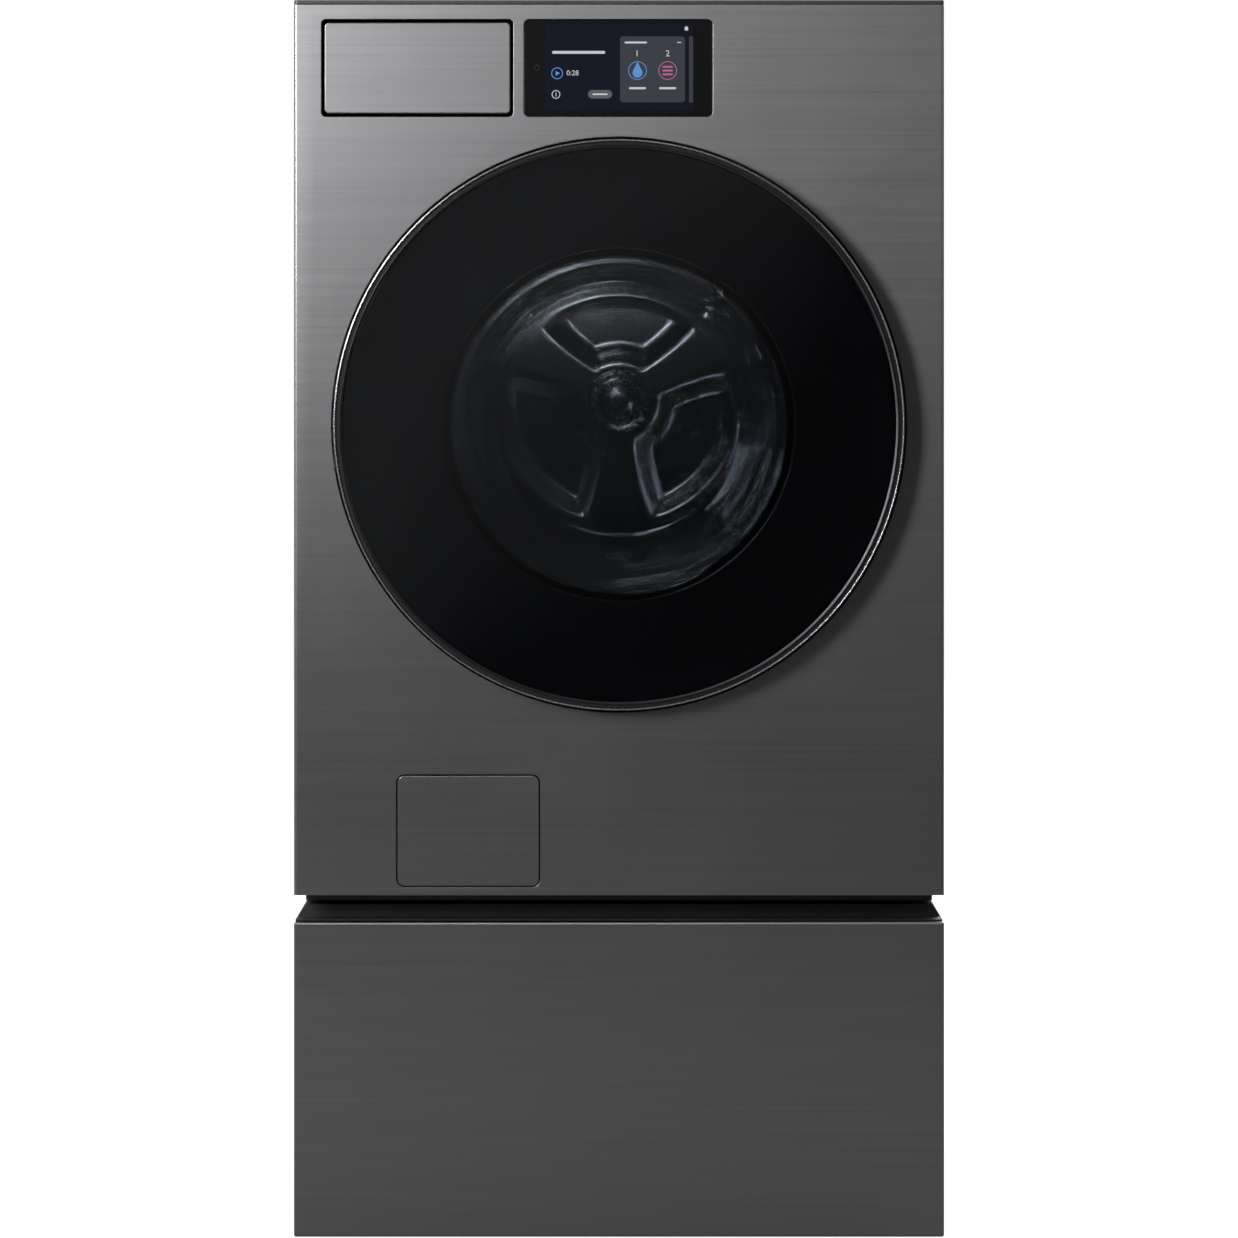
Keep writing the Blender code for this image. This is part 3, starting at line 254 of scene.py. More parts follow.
def handling_group():
    """Faint smudges and dust: a mask in broad patches."""
    tree = bpy.data.node_groups.new("handling_marks", "ShaderNodeTree")
    inputs = [("Amount", "NodeSocketFloat", 0.5), ("Size", "NodeSocketFloat", 6.0)]
    group_in, group_out = group_sockets(tree, inputs, [("Mask", "NodeSocketFloat")])
    coords = add_node(tree, "ShaderNodeTexCoord")
    patches = add_node(tree, "ShaderNodeTexNoise", Detail=5.0, Roughness=0.65)
    ramp = add_node(tree, "ShaderNodeMapRange")
    set_inputs(ramp, From_Min=0.45, From_Max=0.8)
    scaled = add_node(tree, "ShaderNodeMath", {"operation": "MULTIPLY"})
    wire(tree, [
        (coords, "Object", patches, "Vector"), (group_in, "Size", patches, "Scale"),
        (patches, "Fac", ramp, "Value"), (ramp, "Result", scaled, 0), (group_in, "Amount", scaled, 1),
        (scaled, 0, group_out, "Mask"),
    ])
    return tree


BRUSHED, HANDLING = brushed_group(), handling_group()


def vary(tree, source, low, high, target):
    """Feed a shader input with a value between low and high, driven by a 0 to 1 source."""
    spread = tree.nodes.new("ShaderNodeMapRange")
    set_inputs(spread, To_Min=low, To_Max=high)
    tree.links.new(source, spread.inputs["Value"])
    tree.links.new(spread.outputs["Result"], target)
    return spread


def tint(tree, source, dark, light, target):
    """Feed a colour input with a mix of two colours."""
    mix = tree.nodes.new("ShaderNodeMix")
    mix.data_type = "RGBA"
    set_inputs(mix, A=(*dark, 1), B=(*light, 1))
    tree.links.new(source, mix.inputs["Factor"])
    tree.links.new(mix.outputs["Result"], target)
    return mix


def place_group(tree, group, **values):
    placed = tree.nodes.new("ShaderNodeGroup")
    placed.node_tree = group
    set_inputs(placed, **values)
    return placed


def add_bump(tree, shader, source, strength, distance):
    bump = tree.nodes.new("ShaderNodeBump")
    set_inputs(bump, Strength=strength, Distance=distance)
    tree.links.new(source, bump.inputs["Height"])
    tree.links.new(bump.outputs["Normal"], shader.inputs["Normal"])


def brushed_steel(name, dark, light, smooth, rough, metallic=1.0, length=3.0, fineness=900.0):
    """Brushed sheet between two tones and two roughnesses, with marks from handling."""
    material, shader, tree = new_material(name)
    strokes = place_group(tree, BRUSHED, Length=length, Fineness=fineness)
    marks = place_group(tree, HANDLING, Amount=0.6, Size=4.0)
    tint(tree, strokes.outputs["Tone"], dark, light, shader.inputs["Base Color"])
    mixed = tree.nodes.new("ShaderNodeMix")
    mixed.data_type = "FLOAT"
    set_inputs(mixed, Factor=0.5)
    tree.links.new(strokes.outputs["Tone"], mixed.inputs[2])
    tree.links.new(marks.outputs["Mask"], mixed.inputs[3])
    vary(tree, mixed.outputs[0], smooth, rough, shader.inputs["Roughness"])
    add_bump(tree, shader, strokes.outputs["Height"], 0.10, 0.0002)
    set_inputs(shader, Metallic=metallic, Anisotropic=0.55)
    return material


STEEL = brushed_steel("dark_stainless", (0.155, 0.155, 0.16), (0.255, 0.255, 0.26), 0.36, 0.46, 1.0, 4.0,
                      1900.0)


def arc_points(centre, radius, start, end, steps):
    """Points along an arc, angles in degrees."""
    turns = [math.radians(start + (end - start) * k / steps) for k in range(steps + 1)]
    return [(centre[0] + radius * math.cos(t), centre[1] + radius * math.sin(t)) for t in turns]


def round_rect(x, z, radius, steps=8):
    """Outline of a rectangle with round corners."""
    middle = (sum(x) / 2, sum(z) / 2)
    points = []
    for cx, cz, start in ((x[1], z[0], -90), (x[1], z[1], 0), (x[0], z[1], 90), (x[0], z[0], 180)):
        corner = (
            cx - math.copysign(radius, cx - middle[0]),
            cz - math.copysign(radius, cz - middle[1]),
        )
        points += arc_points(corner, radius, start, start + 90, steps)
    return points


def evaluated_mesh(data, dress=None):
    """Mesh that an object with this data comes to, once dress has given it its modifier."""
    carrier = bpy.data.objects.new("carrier", data)
    bpy.context.scene.collection.objects.link(carrier)
    modifier = dress(carrier) if dress else None
    graph = bpy.context.evaluated_depsgraph_get()
    mesh = bpy.data.meshes.new_from_object(carrier.evaluated_get(graph))
    if modifier:
        carrier.modifiers.remove(modifier)
    bpy.data.objects.remove(carrier)
    return mesh


def bmesh_of(mesh, merge=None):
    """Bmesh of a mesh that isn't needed any more, with near points merged."""
    bm = bmesh.new()
    bm.from_mesh(mesh)
    bpy.data.meshes.remove(mesh)
    if merge:
        bmesh.ops.remove_doubles(bm, verts=bm.verts, dist=merge)
    return bm


def merge_in(bm, other):
    """Add one bmesh to another."""
    carried = bpy.data.meshes.new("carried")
    other.to_mesh(carried)
    other.free()
    bm.from_mesh(carried)
    bpy.data.meshes.remove(carried)
    return bm


def flat_curve(outlines):
    """Filled curve inside the first outline and outside the others."""
    curve = bpy.data.curves.new("outlines", "CURVE")
    curve.dimensions, curve.fill_mode = "2D", "BOTH"
    for outline in outlines:
        spline = curve.splines.new("POLY")
        spline.points.add(len(outline) - 1)
        for point, (x, z) in zip(spline.points, outline):
            point.co = (x, z, 0, 1)
        spline.use_cyclic_u = True
    return curve


def stand_up(mesh, place):
    """Turn a mesh from the XY plane into the XZ plane and move it."""
    mesh.transform(Matrix.Translation(place) @ Matrix.Rotation(math.pi / 2, 4, "X"))
    return mesh


def sheet_mesh(outlines, near, far, edge):
    """Plate in the XZ plane from near to far along Y, with holes and softly rounded edges."""
    curve = flat_curve(outlines)
    curve.extrude = (far - near) / 2 - edge
    curve.bevel_depth, curve.bevel_resolution = edge, 2
    curve.offset = -edge
    bm = bmesh_of(stand_up(evaluated_mesh(curve), (0, (near + far) / 2, 0)), 1e-6)
    bmesh.ops.recalc_face_normals(bm, faces=bm.faces)
    return bm


def finish(obj, material, body, slot=None, replaced=(), angle=30):
    """Shade a finished piece, set it on the body it rides on and hide the CAD parts it stands for."""
    obj.data.materials.clear()
    obj.data.materials.append(material)
    obj.data.shade_smooth()
    obj.data.set_sharp_from_angle(angle=math.radians(angle))
    if angle < 90:
        obj.modifiers.new("normals", "WEIGHTED_NORMAL").keep_sharp = True
    if body:
        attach(obj, body)
    if replaced:
        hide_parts(*replaced)
    return obj


def piece(name, bm, *told):
    """Make an object of a bmesh and finish it."""
    return finish(add_mesh(name, bm), *told)


# ---------------------------------------------------------------------------------------------
# Front panel. One pressed sheet: its sides are bent back, the openings have rolled edges, and the
# door closes into a round dish whose inner lip holds the gasket.

SHEET = 0.0015
BEND = 0.0035
ROLL = 0.0006
BOTTOM, TOP = panel_low.z, panel_high.z
SIDE = panel_high.x
FOLD_BACK = panel_high.y
trim_low, trim_high = box_of("door_trim_ring")
DOOR_R = (trim_high.x - trim_low.x) / 2
DOOR_Z = (trim_high.z + trim_low.z) / 2
GASKET_LOW, GASKET_HIGH = box_of("door_gasket")
DOOR_GAP = 0.003
SEAT = 0.012
MOUTH_R = 0.222
LIP = 0.012
DISPENSER_GAP, DISPLAY_GAP, FLAP_GAP = 0.0035, 0.0003, 0.0015


def opening_of(node, gap, radius):
    """Outline of the opening round a piece that fits in it, at any offset into the opening."""
    low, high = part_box(node)
    x, z = (low[0] - gap, high[0] + gap), (low[2] - gap, high[2] + gap)

    def outline(offset):
        inner = [(a + offset, b - offset) for a, b in (x, z)]
        return round_rect(*inner, radius - offset)

    return outline


def roll_in(radius, front, back, steps=4):
    """Rolled edge as (offset, y) pairs: round from the sheet's face, then straight back."""
    pairs = []
    for step in range(steps + 1):
        turn = math.radians(90 * step / steps)
        pairs.append((radius * (math.sin(turn) - 1), front + radius * (1 - math.cos(turn))))
    return pairs + [(0.0, back)]


def add_rings(bm, rings):
    """Join rings of points, given as lists of 3-D places, with quads."""
    rows = [[bm.verts.new(place) for place in ring] for ring in rings]
    for near, far in zip(rows, rows[1:]):
        count = len(near)
        for k in range(count):
            bm.faces.new((near[k], near[(k + 1) % count], far[(k + 1) % count], far[k]))


def flat_face(outlines, y):
    """Triangulated face in the XZ plane inside the first outline and outside the others."""
    return bmesh_of(stand_up(evaluated_mesh(flat_curve(outlines)), (0, y, 0)), 1e-7)


def circle(radius, segments=192):
    return [
        (radius * math.cos(math.tau * k / segments), radius * math.sin(math.tau * k / segments))
        for k in range(segments)
    ]


def dish_profile():
    """Radius and depth of the pressed dish, from the panel's face to the gasket's lip."""
    wall = DOOR_R + DOOR_GAP
    floor = FRONT + SEAT
    profile = [(wall - offset, y) for offset, y in roll_in(0.0012, FRONT, FRONT + 0.004)]
    profile += [(r, y) for r, y in arc_points((wall - 0.004, floor - 0.004), 0.004, 0, 90, 4)]
    inner = MOUTH_R + 0.003
    profile += [(inner + dx, y) for dx, y in arc_points((0, floor + 0.003), 0.003, 270, 180, 4)]
    return profile + [(MOUTH_R, floor + LIP)]


def make_front_panel():
    openings = {
        "dispenser_front": opening_of("dispenser_front", DISPENSER_GAP, 0.005),
        "display_glass": opening_of("display_glass", DISPLAY_GAP, 0.006),
        "filter_door": opening_of("filter_door", FLAP_GAP, 0.009),
    }
    edge = SIDE - BEND
    outer = [(-edge, BOTTOM), (edge, BOTTOM), (edge, TOP), (-edge, TOP)]
    profile = dish_profile()
    door_hole = [(x, DOOR_Z + z) for x, z in circle(profile[0][0])]
    holes = [outline(-ROLL) for outline in openings.values()]
    bm = flat_face([outer, *holes, door_hole], FRONT)
    for outline in openings.values():
        pairs = roll_in(ROLL, FRONT, FRONT + 0.006)
        add_rings(bm, [[(x, y, z) for x, z in outline(offset)] for offset, y in pairs])
    add_rings(bm, [[(x, y, DOOR_Z + z) for x, z in circle(r)] for r, y in profile])
    for side in (-1, 1):
        bend = arc_points((edge, FRONT + BEND), BEND, -90, 0, 6) + [(SIDE, FOLD_BACK)]
        rows = [[bm.verts.new((side * x, y, z)) for x, y in bend] for z in (BOTTOM, TOP)]
        for k in range(len(bend) - 1):
            bm.faces.new((rows[0][k], rows[0][k + 1], rows[1][k + 1], rows[1][k]))
    bmesh.ops.remove_doubles(bm, verts=bm.verts, dist=2e-6)
    bmesh.ops.recalc_face_normals(bm, faces=bm.faces)
    facing = min(bm.faces, key=lambda face: face.calc_center_median().y)
    if facing.normal.y > 0:
        bmesh.ops.reverse_faces(bm, faces=bm.faces)
    obj = add_mesh("panel_skin", bm)
    wall = obj.modifiers.new("wall", "SOLIDIFY")
    wall.thickness, wall.offset = SHEET * 0.6, -1
    finish(obj, STEEL, "cabinet", "stainless_front", ["front_panel"])


make_front_panel()

# The dispenser's front and the filter flap are plates of the same sheet with rounded edges.


def plate_in(node, name, radius, edge, body, depth=None):
    """Plate that fills a CAD node's box, with rounded corners and edges."""
    low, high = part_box(node)
    outline = round_rect((low[0], high[0]), (low[2], high[2]), radius)
    bm = sheet_mesh([outline], low[1], low[1] + (depth or high[1] - low[1]), edge)
    return piece(name, bm, STEEL, body, "stainless_front", [node])


plate_in("dispenser_front", "dispenser_face", 0.0045, 0.0011, "dispenser_drawer")
plate_in("filter_door", "filter_flap_face", 0.0075, 0.0006, "filter_flap")

# ---------------------------------------------------------------------------------------------
# Storage drawer's front. A folded pan as wide as the machine, with a thin upper edge: fingers
# reach behind it to pull the drawer.


def make_drawer_front():
    low, high = box_of("drawer_front")
    lip, groove, edge = 0.007, 0.030, 0.0022
    face = round_rect((low.x, high.x), (low.z, high.z), 0.0025)
    bm = sheet_mesh([face], low.y, low.y + lip, edge)
    back = round_rect((low.x + edge, high.x - edge), (low.z + edge, high.z - groove), 0.002)
    behind = sheet_mesh([back], low.y + lip - edge, high.y, 0.0012)
    piece("drawer_face", merge_in(bm, behind), STEEL, "storage_drawer", "stainless_front", ["drawer_front"])


make_drawer_front()

# ---------------------------------------------------------------------------------------------
# Door. Domed sheet of dark glass in a bright metal rim, with a black seam between them, on a
# black frame. A clear bowl reaches into the drum, and a grey ring clamps it from behind.


def soften(outline, radius, steps=3, closed=True):
    """Round the corners of an outline of 2-D points."""
    points = []
    count = len(outline)
    for k, point in enumerate(outline):
        here = Vector(point)
        if not closed and k in (0, count - 1):
            points.append(tuple(here))
            continue
        before, after = Vector(outline[k - 1]), Vector(outline[(k + 1) % count])
        reach = min(radius, (before - here).length * 0.45, (after - here).length * 0.45)
        start = here + (before - here).normalized() * reach
        end = here + (after - here).normalized() * reach
        for step in range(steps + 1):
            t = step / steps
            points.append(tuple(start * (1 - t) ** 2 + here * 2 * t * (1 - t) + end * t**2))
    return points


def block(inner, outer, near, far):
    """Rectangular section of a ring, from its two radii and its two ends."""
    return [(inner, near), (outer, near), (outer, far), (inner, far)]


def lathe(profile, centre, segments=160, closed=True, lean=None, axis="Y"):
    """Turn (radius, height) points round an axis through the centre.

    Lean moves each ring up or down: it is a function of the height.
    """
    bm = bmesh.new()
    rings = []
    for radius, height in profile:
        shift = lean(height) if lean else 0
        ring = []
        for k in range(segments):
            angle = math.tau * k / segments
            across, up = radius * math.cos(angle), radius * math.sin(angle)
            if axis == "Y":
                place = (centre[0] + across, height, centre[2] + up + shift)
            else:
                place = (centre[0] + across, centre[1] + up, height)
            ring.append(place)
        rings.append(ring)
    if closed:
        rings.append(rings[0])
    add_rings(bm, rings)
    bmesh.ops.remove_doubles(bm, verts=bm.verts, dist=1e-6)
    bmesh.ops.dissolve_degenerate(bm, edges=bm.edges, dist=1e-6)
    bmesh.ops.recalc_face_normals(bm, faces=bm.faces)
    return bm


def soft_copy(node, bevel, segments=2, angle=32):
    """Copy of a CAD piece whose sharp edges are rounded."""
    bm = bmesh.new()
    bm.from_mesh(nodes[node].data)
    bmesh.ops.remove_doubles(bm, verts=bm.verts, dist=2e-6)
    bmesh.ops.dissolve_limit(
        bm, angle_limit=math.radians(1.0), verts=bm.verts, edges=bm.edges
    )
    sharp = [
        edge
        for edge in bm.edges
        if len(edge.link_faces) == 2 and edge.calc_face_angle(0) > math.radians(angle)
    ]
    bmesh.ops.bevel(
        bm, geom=sharp, offset=bevel, segments=segments, profile=0.5,
        affect="EDGES", clamp_overlap=True,
    )
    return bm


def copy_piece(node, name, material, body, slot, bevel, segments=2, angle=30):
    """Piece with the shape of a CAD piece, its sharp edges rounded."""
    return piece(name, soft_copy(node, bevel, segments), material, body, slot, [node], angle)


def moulded(name, dark, light, smooth, rough, grain=900.0, relief=0.00008, metallic=0.0, marks=0.5):
    """Plastic, rubber, paint or cast metal with a fine grain and marks from handling."""
    material, shader, tree = new_material(name)
    coords = tree.nodes.new("ShaderNodeTexCoord")
    noise = tree.nodes.new("ShaderNodeTexNoise")
    set_inputs(noise, Scale=grain, Detail=3.0)
    wear = place_group(tree, HANDLING, Amount=marks, Size=5.0)
    tree.links.new(coords.outputs["Object"], noise.inputs["Vector"])
    tint(tree, wear.outputs["Mask"], dark, light, shader.inputs["Base Color"])
    vary(tree, noise.outputs["Fac"], smooth, rough, shader.inputs["Roughness"])
    add_bump(tree, shader, noise.outputs["Fac"], 0.35, relief)
    set_inputs(shader, Metallic=metallic)
    return material


def glass(name, colour, rough, ior=1.5, transmission=1.0):
    material, shader, tree = new_material(name)
    film = place_group(tree, HANDLING, Amount=0.4, Size=3.0)
    vary(tree, film.outputs["Mask"], rough, rough + 0.03, shader.inputs["Roughness"])
    set_inputs(shader, Base_Color=(*colour, 1), IOR=ior, Transmission_Weight=transmission)
    return material


BLACK = moulded("black_plastic", (0.012, 0.012, 0.013), (0.03, 0.03, 0.031), 0.42, 0.62)
GREY = moulded("grey_plastic", (0.46, 0.47, 0.48), (0.36, 0.36, 0.36), 0.42, 0.6)
ZINC = moulded("zinc", (0.55, 0.55, 0.56), (0.35, 0.35, 0.35), 0.28, 0.45, 60.0, 0.00003, 1.0)
CHROME = moulded("bright_trim", (0.42, 0.43, 0.45), (0.34, 0.34, 0.36), 0.22, 0.32, 300.0, 0.00001, 1.0,
                 0.3)
SEAM = moulded("black_seam", (0.004, 0.004, 0.005), (0.01, 0.01, 0.011), 0.3, 0.45)
DARK_METAL = moulded("dark_trim", (0.05, 0.051, 0.055), (0.08, 0.08, 0.085), 0.25, 0.4, 300.0, 0.00001, 1.0)
TINTED = glass("tinted_glass", (0.24, 0.26, 0.29), 0.0)
CLEAR = glass("bowl_glass", (0.86, 0.89, 0.89), 0.01)


def make_item(name, profile, segments=20):
    """Small turned item that the patterns repeat. Its axis is Z and it isn't shown itself."""
    return add_mesh(name, lathe(profile, (0, 0, 0), segments, False, axis="Z"))


def pattern_tree(name, **kinds):
    """Geometry node group with named inputs of the given kinds and one geometry output."""
    tree = bpy.data.node_groups.new(name, "GeometryNodeTree")
    tree.is_modifier = True
    for label, kind in kinds.items():
        tree.interface.new_socket(name=label, in_out="INPUT", socket_type=f"NodeSocket{kind}")
    tree.interface.new_socket(name="Geometry", in_out="OUTPUT", socket_type="NodeSocketGeometry")
    return tree, tree.nodes.new("NodeGroupInput"), tree.nodes.new("NodeGroupOutput")


def pattern_group():
    """Rows of rings round the Y axis, with an item at each point that faces out, in or along Y."""
    tree, group_in, group_out = pattern_tree("ring_pattern", Item="Object", Material="Material",
                                             Count="Int", Radius="Float", Rows="Int", Pitch="Float",
                                             Stagger="Float", Outward="Float", Along="Float",
                                             Centre="Vector")
    ring = add_node(tree, "GeometryNodeMeshCircle")
    stand = add_node(tree, "GeometryNodeTransform")
    set_inputs(stand, Rotation=(math.pi / 2, 0, 0))
    step = add_node(tree, "ShaderNodeCombineXYZ")
    row = add_node(tree, "GeometryNodeMeshLine", {"mode": "OFFSET"})
    index = add_node(tree, "GeometryNodeInputIndex")
    turned = add_node(tree, "ShaderNodeMath", {"operation": "MULTIPLY"})
    turn = add_node(tree, "ShaderNodeCombineXYZ")
    rings = add_node(tree, "GeometryNodeInstanceOnPoints")
    real = add_node(tree, "GeometryNodeRealizeInstances")
    place = add_node(tree, "GeometryNodeInputPosition")
    flat = add_node(tree, "ShaderNodeVectorMath", {"operation": "MULTIPLY"})
    flat.inputs[1].default_value = (1, 0, 1)
    unit = add_node(tree, "ShaderNodeVectorMath", {"operation": "NORMALIZE"})
    outward = add_node(tree, "ShaderNodeVectorMath", {"operation": "SCALE"})
    along = add_node(tree, "ShaderNodeCombineXYZ")
    facing = add_node(tree, "ShaderNodeVectorMath", {"operation": "ADD"})
    aim = add_node(tree, "FunctionNodeAlignEulerToVector", {"axis": "Z"})
    item = add_node(tree, "GeometryNodeObjectInfo")
    items = add_node(tree, "GeometryNodeInstanceOnPoints")
    solid = add_node(tree, "GeometryNodeRealizeInstances")
    moved = add_node(tree, "GeometryNodeTransform")
    painted = add_node(tree, "GeometryNodeSetMaterial")
    wire(tree, [
        (group_in, "Count", ring, "Vertices"), (group_in, "Radius", ring, "Radius"),
        (ring, "Mesh", stand, "Geometry"), (group_in, "Pitch", step, "Y"), (group_in, "Rows", row, "Count"),
        (step, "Vector", row, "Offset"), (index, "Index", turned, 0), (group_in, "Stagger", turned, 1),
        (turned, 0, turn, "Y"), (row, "Mesh", rings, "Points"), (stand, "Geometry", rings, "Instance"),
        (turn, "Vector", rings, "Rotation"), (rings, "Instances", real, "Geometry"),
        (place, "Position", flat, 0), (flat, "Vector", unit, 0), (unit, "Vector", outward, 0),
        (group_in, "Outward", outward, "Scale"), (group_in, "Along", along, "Y"),
        (outward, "Vector", facing, 0), (along, "Vector", facing, 1), (facing, "Vector", aim, "Vector"),
        (group_in, "Item", item, "Object"), (real, "Geometry", items, "Points"),
        (item, "Geometry", items, "Instance"), (aim, "Rotation", items, "Rotation"),
        (items, "Instances", solid, "Geometry"), (solid, "Geometry", moved, "Geometry"),
        (group_in, "Centre", moved, "Translation"), (moved, "Geometry", painted, "Geometry"),
        (group_in, "Material", painted, "Material"), (painted, "Geometry", group_out, "Geometry"),
    ])
    return tree


PATTERN = pattern_group()


def run_pattern(group, values):
    """Mesh that a pattern group makes. Its named inputs are set by their identifiers."""

    def dress(carrier):
        modifier = carrier.modifiers.new("pattern", "NODES")
        modifier.node_group = group
        for socket in group.interface.items_tree:
            if socket.in_out == "INPUT":
                modifier[socket.identifier] = values[socket.name]
        return modifier

    return evaluated_mesh(bpy.data.meshes.new("carrier"), dress)


def ring_pattern(name, item, material, body, slot, centre, radius, count, **more):
    """Items on rings round a centre, made into one plain mesh that rides on a body."""
    values = {
        "Item": item, "Material": material, "Count": count, "Radius": radius, "Rows": 1,
        "Pitch": 0.0, "Stagger": 0.0, "Outward": 0.0, "Along": -1.0, "Centre": centre, **more,
    }
    obj = bpy.data.objects.new(name, run_pattern(PATTERN, values))
    bpy.context.scene.collection.objects.link(obj)
    return finish(obj, material, body, slot, angle=40)


def drop_item(item):
    bpy.data.objects.remove(item)


SEATED = 0.0002
SCREW_HEAD = [(0, 0.0004), (0.0013, 0.0004), (0.0016, 0.0017), (0.0034, 0.0013), (0.004, 0.0)]


def make_door():
    centre = (0, 0, DOOR_Z)
    low, high = box_of("door_glass")
    radius, face, back = (high.x - low.x) / 2, low.y, high.y
    dome = 0.0042
    curve = [k / 28 for k in range(29)]
    front = [(radius * t, face + dome * (0.25 * t**2 + 0.75 * t**6)) for t in curve]
    rim = [(radius, face + dome + 0.0006), (radius, back - 0.0004), (radius - 0.0004, back), (0, back)]
    pane = add_mesh("door_pane", lathe(front + rim, centre, 192, False))
    finish(pane, TINTED, "door", "door_glass", ["door_glass"])

    edge = trim_high.y
    inner = [
        (radius + 0.0001, face + 0.0052),
        (radius + 0.0008, face + 0.0041),
        (radius + 0.0030, face + 0.0033),
        (radius + 0.0036, face + 0.0042),
        (radius + 0.0036, edge),
        (radius + 0.0001, edge),
    ]
    piece("door_rim_inner", lathe(soften(inner, 0.0003), centre, 192), DARK_METAL, "door", "door_trim")
    seam = block(radius + 0.0037, radius + 0.0068, face + 0.0050, edge)
    piece("door_seam", lathe(seam, centre, 192), SEAM, "door", "black_plastic")
    lip = [
        (DOOR_R - 0.0026, face + 0.0040),
        (DOOR_R - 0.0017, face + 0.0026),
        (DOOR_R - 0.0009, face + 0.0027),
        (DOOR_R, face + 0.0050),
        (DOOR_R, edge),
        (DOOR_R - 0.0026, edge),
    ]
    ring = add_mesh("door_rim", lathe(soften(lip, 0.0005), centre, 192))
    finish(ring, CHROME, "door", "door_trim", ["door_trim_ring"])

    copy_piece("door_frame", "door_back", BLACK, "door", "black_plastic", 0.0007)
    copy_piece("door_inner_ring", "clamp_ring", GREY, "door", "grey_plastic", 0.0009)
    ring_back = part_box("door_inner_ring")[1][1]
    screw = make_item("screw_item", SCREW_HEAD)
    seat = (0, ring_back - SEATED, DOOR_Z)
    ring_pattern("clamp_screws", screw, ZINC, "door", "galvanised_sheet", seat, 0.262, 12, Along=1.0,
                 Stagger=0.0)
    drop_item(screw)


def make_bowl():
    low, high = box_of("door_bowl")
    flange, front, back = (high.x - low.x) / 2, low.y, high.y
    wall, neck, end = 0.004, 0.171, 0.155
    shoulder = FRONT + 0.030
    outer = [
        (flange, front),
        (flange, front + wall),
        (neck + 4 * wall, front + wall),
        (neck + wall, shoulder),
        (end + wall, back - end * 0.2),
        (end * 0.96, back - end * 0.05),
        (end * 0.85, back),
        (0, back - 0.0005),
    ]
    inner = [
        (0, back - wall - 0.0005),
        (end * 0.84, back - wall),
        (end * 0.93, back - end * 0.05 - wall),
        (end, back - end * 0.2 - wall),
        (neck, shoulder),
        (neck + 2.5 * wall, front),
    ]
    bowl = lathe(soften(outer + inner, 0.006, 5, False), (0, 0, DOOR_Z), 160)
    piece("glass_bowl", bowl, CLEAR, "door", "bowl_glass", ["door_bowl"], 80)


make_door()
make_bowl()
for node, name, body, bevel in (
    ("door_hook", "latch_hook", "door", 0.0006),
    ("door_hinge_arm", "hinge_leaf", "door", 0.0005),
    ("hinge_bracket", "hinge_plate", "cabinet", 0.0006),
):
    piece(name, soft_copy(node, bevel), ZINC, body, "galvanised_sheet", [node])

# ---------------------------------------------------------------------------------------------
# Door gasket. A grey rubber bellows: its thick lip clips over the panel's opening, and its sleeve
# folds once before it grips the tub, so that the tub can bounce.

RUBBER = moulded("grey_rubber", (0.055, 0.056, 0.06), (0.11, 0.11, 0.11), 0.55, 0.75, 500.0, 0.0001)
AXIS_Z = joints["drum_spin"]["pos_m"][2]


def make_gasket():
    front, back = GASKET_LOW.y + 0.0035, GASKET_HIGH.y
    outside = MOUTH_R - 0.0004
    rise, wall = outside + 0.0165, 0.0075
    start, fold, end = front + 0.018, (front + 0.028, front + 0.038), front + 0.046
    outer = [
        (outside, front),
        (outside, start),
        (rise, fold[0]),
        (rise, fold[1]),
        (outside + 0.0025, end),
        (outside + 0.0025, back - 0.014),
        (outside + 0.0005, back - 0.011),
        (outside + 0.0025, back - 0.008),
        (outside + 0.0025, back),
    ]
    inner = [
        (outside - 0.0065, back),
        (outside - 0.0065, end - 0.002),
        (rise - wall, fold[1] - 0.0015),
        (rise - wall, fold[0] + 0.0015),
        (outside - wall, start + 0.0015),
        (outside - 0.020, front + 0.0160),
        (outside - 0.0235, front + 0.0120),
        (outside - 0.0200, front + 0.0070),
        (outside - 0.0235, front + 0.0020),
        (outside - 0.0215, GASKET_LOW.y),
        (outside - 0.0030, GASKET_LOW.y),
    ]

    def lean(height):
        share = min(max((end - height) / (end - start - 0.002), 0), 1)
        return (DOOR_Z - AXIS_Z) * share * share * (3 - 2 * share)

    bm = lathe(soften(outer + inner, 0.0035, 4), (0, 0, AXIS_Z), 144, True, lean)
    obj = piece("bellows", bm, RUBBER, None, "rubber", ["door_gasket"], 90)
    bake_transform(obj)


make_gasket()

# ---------------------------------------------------------------------------------------------
# Drum. A bright perforated basket with a pressed back: three hollows leave a Y of spokes round a
# chrome hub. Three lifters stand inside, and a cast spider and a motor's rotor turn with it.

DRUM_STEEL = brushed_steel("drum_stainless", (0.42, 0.42, 0.43), (0.62, 0.62, 0.63), 0.2, 0.36, length=90.0,
                           fineness=240.0)
ALUMINIUM = moulded("cast_aluminium", (0.5, 0.5, 0.51), (0.38, 0.38, 0.38), 0.45, 0.65, 250.0, 0.0003, 1.0)
# Near-black for openings that aren't cut (the drum's holes, the rotor's vents and the inlet ports): painted
# shade where the openings would be.
OPENING_SHADE = moulded("punched_hole", (0.01, 0.01, 0.01), (0.02, 0.02, 0.02), 0.6, 0.8)
LIFTER = moulded("lifter_plastic", (0.33, 0.335, 0.34), (0.25, 0.25, 0.25), 0.35, 0.55)
DRUM_LOW, DRUM_HIGH = box_of("drum_shell")
DRUM_R = (DRUM_HIGH.x - DRUM_LOW.x) / 2 - 0.0012
DRUM_BACK = DRUM_HIGH.y
DRUM_MOUTH = 0.205
AXIS = (0, 0, AXIS_Z)


